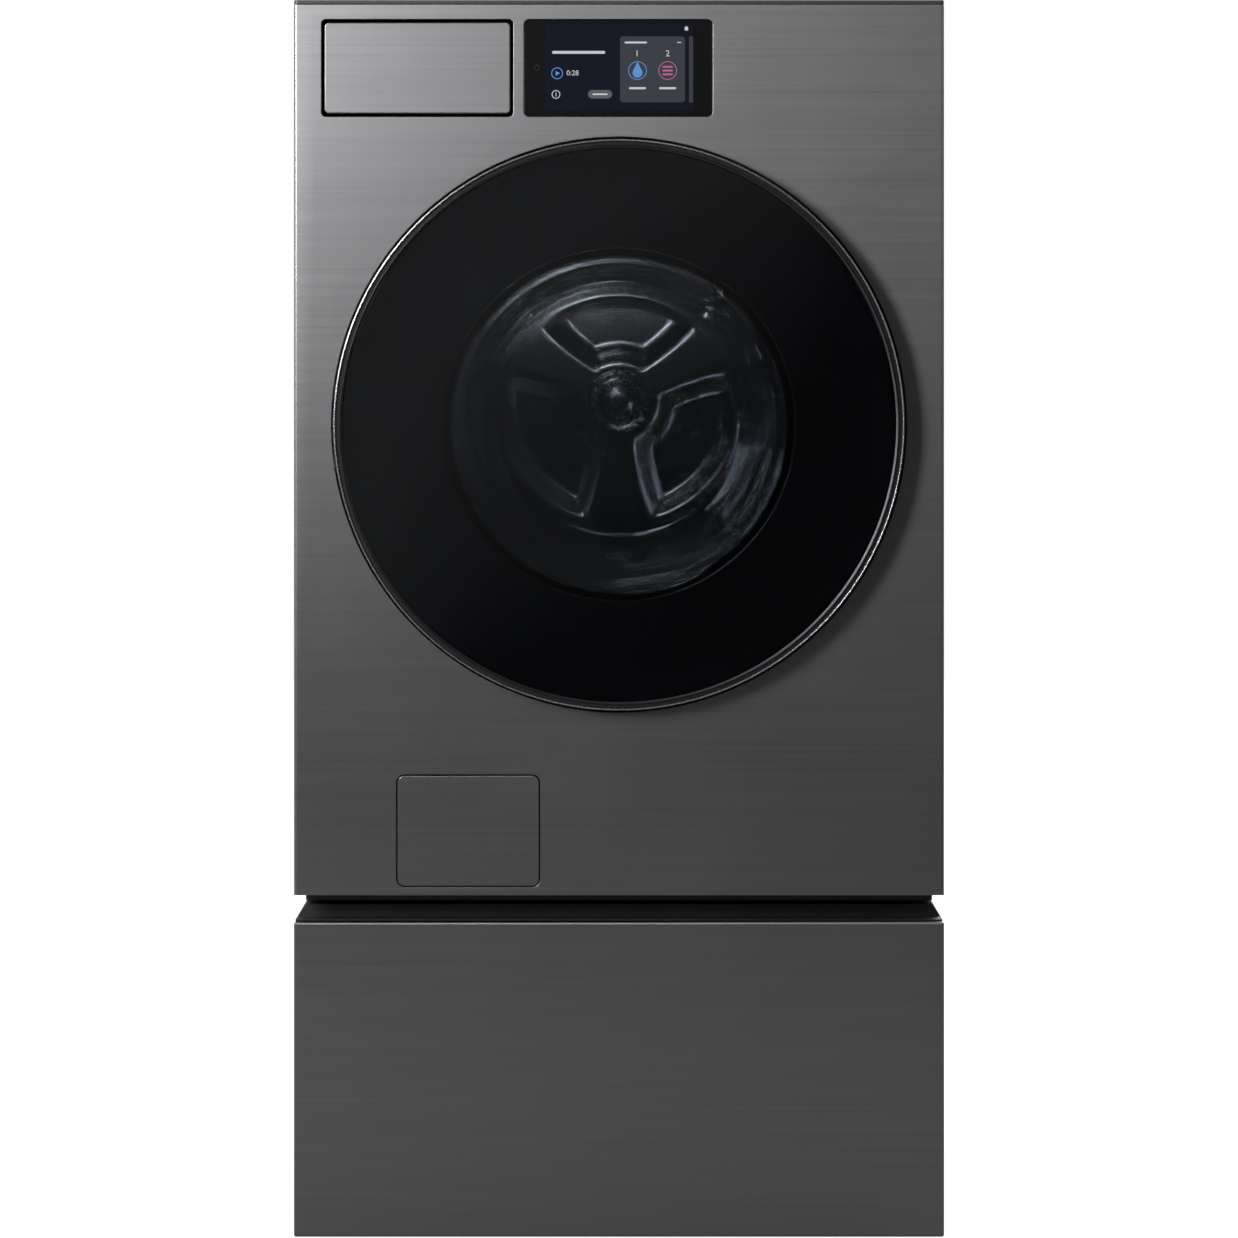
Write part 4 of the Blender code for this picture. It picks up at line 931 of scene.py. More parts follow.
def make_drum():
    wall, bend, front = 0.0012, 0.010, DRUM_LOW.y + 0.004
    disc, well, swage, sunk = 0.156, 0.005, 0.007, 0.002
    swage_front, swage_back = front + 0.052, DRUM_BACK - 0.045
    outer = [
        (DRUM_MOUTH, front),
        (DRUM_MOUTH + 0.030, DRUM_LOW.y),
        (DRUM_R + wall - bend, front),
        (DRUM_R + wall, front + bend),
        (DRUM_R + wall, swage_front - swage),
        (DRUM_R + wall - sunk, swage_front),
        (DRUM_R + wall, swage_front + swage),
        (DRUM_R + wall, swage_back - swage),
        (DRUM_R + wall - sunk, swage_back),
        (DRUM_R + wall, swage_back + swage),
        (DRUM_R + wall, DRUM_BACK - bend),
        (DRUM_R + wall - bend, DRUM_BACK),
        (disc + 0.010, DRUM_BACK),
        (disc, DRUM_BACK - well),
    ]
    inner = [(radius - wall, height) for radius, height in outer[3:11]]
    inner = [(DRUM_MOUTH + 0.030, DRUM_LOW.y + wall), (DRUM_R - bend, front + wall)] + inner
    inner += [(DRUM_R - bend, DRUM_BACK - wall), (disc + 0.010, DRUM_BACK - wall)]
    inner += [(disc, DRUM_BACK - well - wall)]
    inner = [(DRUM_MOUTH, front + 0.006)] + inner
    shell = soften(outer, 0.004, 3, False) + soften(inner, 0.004, 3, False)[::-1]
    bm = lathe(shell, AXIS, 160)
    obj = add_mesh("drum_basket", bm)
    finish(obj, DRUM_STEEL, "drum", "drum_steel", ["drum_shell"], 50)


SPOKE_HALF, SPOKE_FLARE, RIM_LAND, HUB_LAND, HOLLOW_SLOPE = 0.014, 0.030, 0.010, 0.044, 0.026
HOLE_ROWS, HOLES_ROUND, HOLE_PITCH, HOLE_START = 22, 96, 0.0145, 0.078
BACK_HOLE_RINGS = ((0.178, 84), (0.190, 84), (0.202, 84), (0.214, 96), (0.226, 96), (0.238, 96))


def back_height(radius, angle, disc):
    """How far the pressed back stands into the drum at a place on it."""
    near_spoke = abs(math.remainder(angle + math.pi / 2, math.tau / 3))
    spoke = SPOKE_HALF + SPOKE_FLARE * (radius / disc) ** 3
    off_spoke = radius * math.sin(min(near_spoke, math.pi / 2)) - spoke
    rim = disc - RIM_LAND - radius
    hub = radius - HUB_LAND
    hollow = min(max(min(off_spoke, rim, hub) / HOLLOW_SLOPE, 0), 1)
    return 1 - hollow * hollow * (3 - 2 * hollow)


def make_drum_back():
    disc, base, rise, wall = 0.157, DRUM_BACK - 0.0052, 0.0170, 0.0012
    rows, turns = 40, 144
    bm = bmesh.new()
    grids = []
    for lift in (0, wall):
        grid = []
        for row in range(rows + 1):
            radius = 0.006 + (disc - 0.006) * row / rows
            ring = []
            for k in range(turns):
                angle = math.tau * k / turns
                height = base - wall + lift - rise * back_height(radius, angle, disc)
                place = (radius * math.cos(angle), height, AXIS_Z + radius * math.sin(angle))
                ring.append(bm.verts.new(place))
            grid.append(ring)
        grids.append(grid)
    for grid in grids:
        for near, far in zip(grid, grid[1:]):
            for k in range(turns):
                m = (k + 1) % turns
                bm.faces.new((near[k], near[m], far[m], far[k]))
    for row in (0, rows):
        for k in range(turns):
            m = (k + 1) % turns
            bm.faces.new((grids[0][row][k], grids[0][row][m], grids[1][row][m], grids[1][row][k]))
    bmesh.ops.recalc_face_normals(bm, faces=bm.faces)
    piece("drum_back", bm, DRUM_STEEL, "drum", "drum_steel", (), 60)
    hub = [
        (0, -0.0215), (0.010, -0.0210), (0.0200, -0.0175), (0.0245, -0.0120), (0.0255, -0.0090),
        (0.0300, -0.0085), (0.0330, -0.0105), (0.0365, -0.0080), (0.0380, 0.0), (0, 0.0),
    ]
    seat = base - wall - rise - SEATED
    hub = [(radius, seat + height) for radius, height in hub]
    cap = lathe(soften(hub, 0.003, 4, False), AXIS, 96, False)
    piece("hub_cap", cap, CHROME, "drum", "drum_steel", (), 80)


def make_perforations():
    # The drum's holes are shallow near-black dimples: painted shade in place of holes cut through the
    # sheet.
    cup = [(0.0021, 0.0003), (0.0017, 0.0001), (0.0014, -0.0004), (0, -0.0004)]
    item = make_item("hole_item", cup[::-1], 8)
    centre = (0, DRUM_LOW.y + HOLE_START, AXIS_Z)
    ring_pattern("drum_holes", item, OPENING_SHADE, "drum", "drum_steel", centre, DRUM_R - 0.0001,
                 HOLES_ROUND, Rows=HOLE_ROWS, Pitch=HOLE_PITCH, Stagger=math.pi / HOLES_ROUND, Outward=-1.0,
                 Along=0.0)
    seat = (0, DRUM_BACK - 0.0013, AXIS_Z)
    for index, (radius, count) in enumerate(BACK_HOLE_RINGS):
        ring_pattern(f"back_holes_{index + 1}", item, OPENING_SHADE, "drum", "drum_steel", seat, radius, count,
                     Stagger=math.pi * (index % 2) / count)
    drop_item(item)


def make_lifters():
    """Three plastic paddles with well rounded edges."""
    for index in range(3):
        node = f"drum_lifter_{index + 1}"
        bm = soft_copy(node, 0.007, 4, 15)
        piece(f"lifter_{index + 1}", bm, LIFTER, "drum", "grey_plastic", [node], 50)


def make_rotor():
    low, high = box_of("rotor")
    radius = (high.x - low.x) / 2
    cup = [
        (0.0105, high.y - 0.004), (0.030, high.y - 0.004), (0.034, high.y - 0.008), (0.060, high.y - 0.008),
        (0.066, high.y - 0.004), (radius - 0.006, high.y - 0.004), (radius - 0.006, low.y), (radius, low.y),
        (radius, high.y), (0.064, high.y), (0.058, high.y - 0.004), (0.036, high.y - 0.004),
        (0.032, high.y),
        (0.0105, high.y),
    ]
    piece("rotor_cup", lathe(soften(cup, 0.0015), AXIS, 144), ZINC, "drum", "galvanised_sheet", ["rotor"])
    # The vents are near-black fins: painted shade for the openings in the rotor's back.
    fin = add_mesh("fin_item", soft_box(about(0, 0.0035), about(0, 0.016), (-0.0002, 0.0018), 0.0008))
    seat = (0, high.y - 0.0003, AXIS_Z)
    ring_pattern("rotor_vents", fin, OPENING_SHADE, "drum", "galvanised_sheet", seat, 0.098, 20, Along=1.0)
    drop_item(fin)


def about(middle, reach):
    """Both ends of a span about its middle."""
    return (middle - reach, middle + reach)


def soft_box(x, y, z, bevel, segments=2):
    """Block between two corners, with round edges."""
    bm = bmesh.new()
    place = Matrix.Translation([sum(pair) / 2 for pair in (x, y, z)])
    size = Matrix.Diagonal([pair[1] - pair[0] for pair in (x, y, z)] + [1])
    bmesh.ops.create_cube(bm, size=1, matrix=place @ size)
    if bevel:
        bmesh.ops.bevel(bm, geom=bm.edges[:], offset=bevel, segments=segments, profile=0.5, affect="EDGES")
    return bm


make_drum()
make_drum_back()
make_perforations()
make_lifters()
make_rotor()
copy_piece("drum_spider", "spider", ALUMINIUM, "drum", "cast_aluminium", 0.003, 3)

# ---------------------------------------------------------------------------------------------
# Tub. Two halves of grey plastic, stiffened by ribs and clipped together round their flanges. It
# carries the cast weight above the door and the motor's copper-wound stator on its back.

TUB_PLASTIC = moulded("tub_plastic", (0.30, 0.31, 0.32), (0.24, 0.24, 0.24), 0.5, 0.7, 400.0, 0.0001)
CAST = moulded("cast_weight", (0.10, 0.10, 0.10), (0.16, 0.155, 0.15), 0.75, 0.95, 260.0, 0.0009)
COPPER = moulded("copper_wire", (0.50, 0.20, 0.08), (0.36, 0.15, 0.07), 0.3, 0.5, 700.0, 0.0001, 1.0)


def make_tub():
    for node, name in (("tub_front", "tub_front_half"), ("tub_rear", "tub_rear_half")):
        copy_piece(node, name, TUB_PLASTIC, "tub", "grey_plastic", 0.0016, angle=40)
    low, high = box_of("tub_rear")
    back = high.y - 0.030
    radius = (high.x - low.x) / 2 - 0.010
    rib = add_mesh("rib_item", soft_box(about(0, 0.0018), about(0, 0.070), (-0.0002, 0.007), 0.0007))
    seat = (0, back - 0.0004, AXIS_Z)
    ring_pattern("tub_ribs", rib, TUB_PLASTIC, "tub", "grey_plastic", seat, 0.213, 24, Along=1.0,
                 Stagger=0.13)
    drop_item(rib)
    band = block(radius - 0.001, radius + 0.0035, back - 0.120, back - 0.116)
    hoops = bmesh.new()
    for shift in (0.0, 0.040, 0.080):
        merge_in(hoops, lathe([(r, y + shift) for r, y in soften(band, 0.001)], AXIS, 128))
    piece("tub_hoops", hoops, TUB_PLASTIC, "tub", "grey_plastic")
    flange_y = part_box("tub_front")[1][1] + 0.00015
    clip = add_mesh("clip_item", soft_box(about(0, 0.012), about(0, 0.006), (-0.004, 0.0015), 0.0012))
    ring_pattern("tub_clips", clip, ZINC, "tub", "galvanised_sheet", (0, flange_y, AXIS_Z), radius + 0.0085,
                 18,
                 Outward=1.0, Along=0.0, Stagger=0.1)
    drop_item(clip)
    copy_piece("counterweight", "front_weight", CAST, "tub", "cast_weight", 0.004, 3)


def make_stator():
    low, high = box_of("stator")
    outer = (high.x - low.x) / 2
    core = block(0.0462, 0.085, low.y, high.y - 0.002)
    poles = bmesh.new()
    merge_in(poles, lathe(soften(core, 0.002), AXIS, 96))
    piece("stator_core", poles, ZINC, "tub", "winding", ["stator"])
    coil = add_mesh("coil_item", soft_box(about(0, 0.0050), about(0, 0.0110), (0.0, 0.0300), 0.0035, 3))
    seat = (0, (low.y + high.y) / 2, AXIS_Z)
    ring_pattern("stator_coils", coil, COPPER, "tub", "winding", seat, 0.0845, 36, Outward=1.0, Along=0.0)
    tip = add_mesh("tip_item", soft_box(about(0, 0.0075), about(0, 0.0110), (0.0, 0.0040), 0.0008))
    ring_pattern("stator_tips", tip, ZINC, "tub", "winding", seat, outer - 0.0045, 36, Outward=1.0,
                 Along=0.0)
    drop_item(coil)
    drop_item(tip)


make_tub()
make_stator()

# ---------------------------------------------------------------------------------------------
# Display. A black glass window with a lit screen behind it: a night sky, a grey card with two
# settings, a clock with the time left, a touch ring for power, and small round symbols.

WINDOW_LOW, WINDOW_HIGH = box_of("display_glass")
SCREEN_Y = WINDOW_LOW.y


def lit(name, colour, strength):
    material, shader, _ = new_material(name)
    set_inputs(shader, Base_Color=(0.002, 0.002, 0.003, 1), Roughness=0.08, Specular_IOR_Level=0.3,
               Emission_Color=(*colour, 1), Emission_Strength=strength)
    return material


def sky_material():
    """Picture on the screen: a deep blue night with a pale mist and fine star trails."""
    material, shader, tree = new_material("screen_picture")
    coords = tree.nodes.new("ShaderNodeTexCoord")
    centre = ((WINDOW_LOW.x + WINDOW_HIGH.x) / 2 - 0.018, 0, (WINDOW_LOW.z + WINDOW_HIGH.z) / 2 + 0.002)
    offset = add_node(tree, "ShaderNodeVectorMath", {"operation": "SUBTRACT"})
    offset.inputs[1].default_value = centre
    reach = add_node(tree, "ShaderNodeVectorMath", {"operation": "LENGTH"})
    mist = add_node(tree, "ShaderNodeTexNoise", Scale=38.0, Detail=5.0, Roughness=0.6)
    glow = tree.nodes.new("ShaderNodeMapRange")
    set_inputs(glow, From_Min=0.052, From_Max=0.0)
    shaped = add_node(tree, "ShaderNodeMath", {"operation": "MULTIPLY"})
    trails = add_node(tree, "ShaderNodeTexWave", {"wave_type": "RINGS", "rings_direction": "SPHERICAL"},
                      Scale=230.0, Distortion=1.5)
    fine = add_node(tree, "ShaderNodeMath", {"operation": "POWER"})
    fine.inputs[1].default_value = 9.0
    faint = add_node(tree, "ShaderNodeMath", {"operation": "MULTIPLY"})
    faint.inputs[1].default_value = 0.10
    total = add_node(tree, "ShaderNodeMath", {"operation": "MULTIPLY_ADD"})
    wire(tree, [
        (coords, "Object", offset, 0), (offset, "Vector", reach, 0), (offset, "Vector", mist, "Vector"),
        (offset, "Vector", trails, "Vector"), (reach, "Value", glow, "Value"), (glow, "Result", shaped, 0),
        (mist, "Fac", shaped, 1), (trails, "Fac", fine, 0), (fine, 0, faint, 0), (faint, 0, total, 0),
        (glow, "Result", total, 1), (shaped, 0, total, 2),
    ])
    tint(tree, total.outputs[0], (0.0025, 0.004, 0.010), (0.16, 0.24, 0.42),
         shader.inputs["Emission Color"])
    set_inputs(shader, Emission_Strength=1.0, Base_Color=(0.002, 0.002, 0.004, 1), Roughness=0.08,
               Specular_IOR_Level=0.3)
    return material


WINDOW = moulded("window_black", (0.0015, 0.0015, 0.002), (0.002, 0.002, 0.003), 0.03, 0.06, 200.0,
                 0.0000001, 0.0, 0.2)
WHITE_LIT = lit("lit_white", (0.55, 0.57, 0.60), 1.0)
GREY_LIT = lit("lit_grey", (0.10, 0.105, 0.12), 1.0)
CARD_LIT = lit("lit_card", (0.040, 0.044, 0.055), 1.0)
BLUE_LIT = lit("lit_blue", (0.10, 0.28, 0.62), 1.0)
PINK_LIT = lit("lit_pink", (0.50, 0.12, 0.30), 1.0)
DARK_LIT = lit("lit_dark", (0.030, 0.031, 0.034), 1.0)


def strip(name, outlines, depth, material):
    """Thin lit shape on the screen, given by its outlines."""
    bm = bmesh.new()
    for rings in outlines:
        merge_in(bm, flat_face(rings, SCREEN_Y - depth))
    for face in bm.faces:
        if face.normal.y > 0:
            face.normal_flip()
    obj = add_mesh(name, bm)
    wall = obj.modifiers.new("wall", "SOLIDIFY")
    wall.thickness, wall.offset = 0.00008, -1
    graph = bpy.context.evaluated_depsgraph_get()
    solid = bpy.data.meshes.new_from_object(obj.evaluated_get(graph))
    obj.modifiers.clear()
    obj.data = solid
    return finish(obj, material, "cabinet", "display_black", (), 30)


def disc_at(x, z, radius, hole=0.0, steps=48):
    rings = [[(x + a, z + b) for a, b in circle(radius, steps)]]
    if hole:
        rings.append([(x + a, z + b) for a, b in circle(hole, steps)])
    return rings


def bar_at(x, z, width, height, radius=None):
    corner = min(width, height) * 0.499 if radius is None else radius
    return [round_rect((x - width / 2, x + width / 2), (z - height / 2, z + height / 2), corner, 4)]


def digits(name, text, x, z, height, depth, material):
    """Numerals in the built-in font, made into a mesh and laid on the screen."""
    curve = bpy.data.curves.new(name, "FONT")
    curve.body, curve.size = text, height * 1.36
    curve.align_x, curve.align_y = "CENTER", "CENTER"
    curve.extrude = 0.00004
    curve.resolution_u = 4
    mesh = stand_up(evaluated_mesh(curve), (x, SCREEN_Y - depth, z))
    obj = bpy.data.objects.new(name, mesh)
    bpy.context.scene.collection.objects.link(obj)
    return finish(obj, material, "cabinet", "display_black", (), 30)


def make_display():
    low, high = WINDOW_LOW, WINDOW_HIGH
    pane = sheet_mesh([round_rect((low.x, high.x), (low.z, high.z), 0.0057)], low.y + 0.0012, high.y,
                      0.0008)
    piece("display_window", pane, WINDOW, "cabinet", "display_black", ["display_glass"])
    left, top = low.x, high.z
    face = -0.0010
    screen = round_rect((left + 0.0221, left + 0.1786), (top - 0.0957, top - 0.0053), 0.0015, 4)
    strip("screen_sky", [[screen]], face, sky_material())
    card = round_rect((left + 0.1012, left + 0.1698), (top - 0.0873, top - 0.0177), 0.0035, 6)
    sliver = round_rect((left + 0.1740, left + 0.1782), (top - 0.0873, top - 0.0177), 0.0008, 3)
    strip("screen_cards", [[card], [sliver]], face + 0.0001, CARD_LIT)
    x, z = left + 0.0348, top - 0.0566
    strip("play_ring", [disc_at(x, z, 0.0062, 0.0053), [[(x - 0.0016, z - 0.0026), (x + 0.0030, z),
                                                         (x - 0.0016, z + 0.0026)]]],
          face + 0.0001, BLUE_LIT)
    strip("screen_marks", [
        bar_at(left + 0.0575, top - 0.0345, 0.0560, 0.0030),
        disc_at(left + 0.0336, top - 0.0789, 0.0045, 0.0037),
        bar_at(left + 0.0336, top - 0.0789, 0.0008, 0.0040, 0.0002),
        bar_at(left + 0.1712, top - 0.0101, 0.0036, 0.0026, 0.0003),
        [[(left + 0.1688, top - 0.0090), (left + 0.1736, top - 0.0090), (left + 0.1712, top - 0.0066)]],
    ], face + 0.0001, WHITE_LIT)
    strip("screen_pill", [bar_at(left + 0.0801, top - 0.0787, 0.0256, 0.0090)], face + 0.0001, GREY_LIT)
    strip("card_labels", [
        bar_at(left + 0.1178, top - 0.0241, 0.0236, 0.0020),
        bar_at(left + 0.1196, top - 0.0723, 0.0180, 0.0022),
        bar_at(left + 0.1514, top - 0.0723, 0.0180, 0.0022),
        bar_at(left + 0.1636, top - 0.0241, 0.0044, 0.0010, 0.0002),
        bar_at(left + 0.0801, top - 0.0787, 0.0160, 0.0016),
    ], face + 0.0002, WHITE_LIT)
    x, z = left + 0.1196, top - 0.0537
    drops = [disc_at(x, z - 0.0022, 0.0052), [[(x - 0.0045, z), (x + 0.0045, z), (x, z + 0.0095)]]]
    strip("blue_symbol", drops + [disc_at(x, z, 0.0098, 0.0090)], face + 0.0002, BLUE_LIT)
    x = left + 0.1514
    waves = [bar_at(x, z + shift, 0.0110, 0.0018) for shift in (-0.0040, 0.0, 0.0040)]
    strip("pink_symbol", waves + [disc_at(x, z, 0.0098, 0.0090)], face + 0.0002, PINK_LIT)
    digits("time_left", "0:28", left + 0.0512, top - 0.0566, 0.0056, -face + 0.0, WHITE_LIT)
    digits("setting_one", "1", left + 0.1191, top - 0.0360, 0.0068, 0.0, WHITE_LIT)
    digits("setting_two", "2", left + 0.1514, top - 0.0360, 0.0068, 0.0, WHITE_LIT)
    strip("power_ring", [disc_at(left + 0.0135, top - 0.0504, 0.0031, 0.0025),
                         bar_at(left + 0.0135, top - 0.0480, 0.0008, 0.0034, 0.0002)],
          face, DARK_LIT)


make_display()

# ---------------------------------------------------------------------------------------------
# Behind the control strip: the electronics housing, and the dispenser's housing with its drawer,
# which has three cells with a siphon cap over the softener.


def make_controls():
    low, high = box_of("control_board")
    bm = soft_copy("control_board", 0.003, 3)
    for k in range(7):
        x = low.x + 0.022 + k * (high.x - low.x - 0.044) / 6
        merge_in(bm, soft_box(about(x, 0.0015), (high.y - 0.0008, high.y + 0.0018),
                              (low.z + 0.012, high.z - 0.012), 0.0007))
    piece("board_casing", bm, GREY, "cabinet", "grey_plastic", ["control_board"])


def make_dispenser():
    copy_piece("dispenser_housing", "dispenser_case", BLACK, "cabinet", "black_plastic", 0.0012)
    low, high = box_of("dispenser_tray")
    bm = soft_copy("dispenser_tray", 0.0008)
    pitch = (high.x - low.x - 0.0025) / 3
    for k in range(3):
        middle = low.x + 0.00125 + pitch * (k + 0.5)
        for mark in range(3):
            z = low.z + 0.018 + 0.012 * mark
            back = high.y - 0.0025
            merge_in(bm, soft_box(about(middle, 0.006), (back - 0.0008, back + 0.0002), (z, z + 0.0008), 0))
    piece("tray_cells", bm, GREY, "dispenser_drawer", "grey_plastic", ["dispenser_tray"])
    x, y = low.x + 0.00125 + pitch * 1.5, high.y - 0.040
    cap = [(0, low.z + 0.004), (0.011, low.z + 0.004), (0.011, high.z - 0.008), (0.009, high.z - 0.004),
           (0, high.z - 0.004)]
    piece("siphon_cap", lathe(soften(cap, 0.002, 3, False), (x, y, 0), 40, False, axis="Z"),
           moulded("siphon_blue", (0.03, 0.10, 0.30), (0.05, 0.12, 0.28), 0.35, 0.5), "dispenser_drawer",
           "grey_plastic")


make_controls()
make_dispenser()

# ---------------------------------------------------------------------------------------------
# Side panels and lid. Painted sheet in a dark satin grey, folded at its edges. Two screws hold each
# side panel from behind.

PAINT = moulded("side_paint", (0.070, 0.070, 0.073), (0.095, 0.095, 0.097), 0.36, 0.5, 700.0, 0.00004, 0.35)
# The lid takes a darker copy of the side paint: painted shade on the lid.
SHADED_LID_PAINT = moulded("lid_paint", (0.050, 0.050, 0.052), (0.075, 0.075, 0.077), 0.36, 0.5, 700.0, 0.00004,
                    0.35)
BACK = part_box("side_panel_left")[1][1]


def row_group():
    """A straight row of one item, turned as asked and set down from a first place."""
    tree, group_in, group_out = pattern_tree("row_pattern", Item="Object", Material="Material", Count="Int",
                                             Step="Vector", Turn="Vector", First="Vector")
    line = add_node(tree, "GeometryNodeMeshLine", {"mode": "OFFSET"})
    item = add_node(tree, "GeometryNodeObjectInfo")
    items = add_node(tree, "GeometryNodeInstanceOnPoints")
    solid = add_node(tree, "GeometryNodeRealizeInstances")
    painted = add_node(tree, "GeometryNodeSetMaterial")
    wire(tree, [
        (group_in, "Count", line, "Count"), (group_in, "First", line, "Start Location"),
        (group_in, "Step", line, "Offset"), (line, "Mesh", items, "Points"),
        (group_in, "Item", item, "Object"), (item, "Geometry", items, "Instance"),
        (group_in, "Turn", items, "Rotation"), (items, "Instances", solid, "Geometry"),
        (solid, "Geometry", painted, "Geometry"), (group_in, "Material", painted, "Material"),
        (painted, "Geometry", group_out, "Geometry"),
    ])
    return tree


ROW = row_group()


def row_pattern(item, material, count, first, step, turn=(0, 0, 0)):
    """Bmesh of an item repeated along a straight row."""
    values = {"Item": item, "Material": material, "Count": count, "Step": step, "Turn": turn,
              "First": first}
    return bmesh_of(run_pattern(ROW, values))


TO_BACK = (-math.pi / 2, 0, 0)


def make_sides():
    for name in ("left", "right"):
        node = f"side_panel_{name}"
        bm = soft_copy(node, 0.0006)
        piece(f"side_skin_{name}", bm, PAINT, "cabinet", "painted_side", [node])
    lid = soft_copy("top_cover", 0.0012, 3)
    piece("lid", lid, SHADED_LID_PAINT, "cabinet", "painted_side", ["top_cover"])
    screw = make_item("screw_item", SCREW_HEAD)
    inset, from_edge, sunk = 0.06, 0.012, 0.0022
    rows = bmesh.new()
    for side in (-1, 1):
        for z in (BOTTOM + inset, TOP - inset):
            place = (side * (SIDE - from_edge), BACK - 0.0001, z)
            merge_in(rows, row_pattern(screw, ZINC, 1, place, (0, 0, 0), TO_BACK))
    drop_item(screw)
    for vert in rows.verts:
        vert.co.y -= sunk
    piece("side_screws", rows, ZINC, "cabinet", "galvanised_sheet", (), 40)


make_sides()

# ---------------------------------------------------------------------------------------------
# Rear. Zinc-coated sheet with pressed ribs, and a service cover with round corners and two pressed
# rings, held by screws. The two
# threaded water inlets, the power inlet and the drain stub pass through it.

SHEET_ZINC = moulded("galvanised_sheet", (0.42, 0.425, 0.43), (0.33, 0.33, 0.33), 0.36, 0.55, 26.0, 0.00003,
                     0.9)
COVER_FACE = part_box("service_cover")[1][1]
REAR_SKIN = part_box("rear_panel")[1][1]
RIB, RIB_LIFT, RIB_ROOT, RIB_EDGE = 0.012, 0.0014, 0.0006, 0.0011
SCREWS_ACROSS, SCREW_PITCH, SCREW_INSET, SCREW_HEIGHT = 9, 0.0772, 0.034, 0.012


def rib_bar(x, z):
    """Pressed rib: a low rounded bar on the rear sheet."""
    return soft_box(x, (REAR_SKIN - RIB_ROOT, REAR_SKIN + RIB_LIFT), z, RIB_EDGE, 3)


def make_rear():
    skin = REAR_SKIN
    bm = soft_copy("rear_panel", 0.0002, 1)
    for z in (BOTTOM + 0.055, BOTTOM + 0.085, BOTTOM + 0.165, BOTTOM + 0.195):
        merge_in(bm, rib_bar((0.02, 0.30), (z, z + RIB)))
        if z > BOTTOM + 0.1:
            merge_in(bm, rib_bar((-0.30, -0.20), (z, z + RIB)))
    for x in (-0.315, -0.290, 0.278, 0.303):
        merge_in(bm, rib_bar((x, x + RIB), about(AXIS_Z, 0.24)))
    for z in (TOP - 0.145, TOP - 0.030):
        merge_in(bm, rib_bar((-0.19, 0.15), (z, z + RIB)))
    piece("rear_sheet", bm, SHEET_ZINC, "cabinet", "galvanised_sheet", ["rear_panel"])
    louvre = add_mesh("louvre_item", soft_box(about(0, 0.022), about(0, 0.0022), (-0.0004, 0.0015), 0.0006))
    vents = bmesh.new()
    for column in range(5):
        first = (-0.135 + 0.058 * column, skin, TOP - 0.118)
        merge_in(vents, row_pattern(louvre, BLACK, 7, first, (0, 0, 0.0115), TO_BACK))
    drop_item(louvre)
    piece("rear_louvres", vents, BLACK, "cabinet", "black_plastic", (), 40)
    screw = make_item("screw_item", SCREW_HEAD)
    rows = bmesh.new()
    for z in (BOTTOM + SCREW_HEIGHT, TOP - SCREW_HEIGHT):
        first = (-SIDE + SCREW_INSET, skin - 0.0001, z)
        merge_in(rows, row_pattern(screw, ZINC, SCREWS_ACROSS, first, (SCREW_PITCH, 0, 0), TO_BACK))
    piece("rear_screws", rows, ZINC, "cabinet", "galvanised_sheet", (), 40)
    cover = soft_copy("service_cover", 0.0005)
    face = COVER_FACE
    half, lift, root = 0.006, 0.0016, 0.0005
    for radius in (0.150, 0.090):
        ring = [(radius - half, face - root), (radius, face + lift), (radius + half, face - root)]
        merge_in(cover, lathe(soften(ring, 0.003, 4, False) + [(radius, face - 0.0006)], AXIS, 128))
    piece("round_cover", cover, SHEET_ZINC, "cabinet", "galvanised_sheet", ["service_cover"])
    seat = (0, face - SEATED, AXIS_Z)
    ring_pattern("cover_screws", screw, ZINC, "cabinet", "galvanised_sheet", seat, 0.210, 8, Along=1.0,
                 Stagger=0.0)
    drop_item(screw)


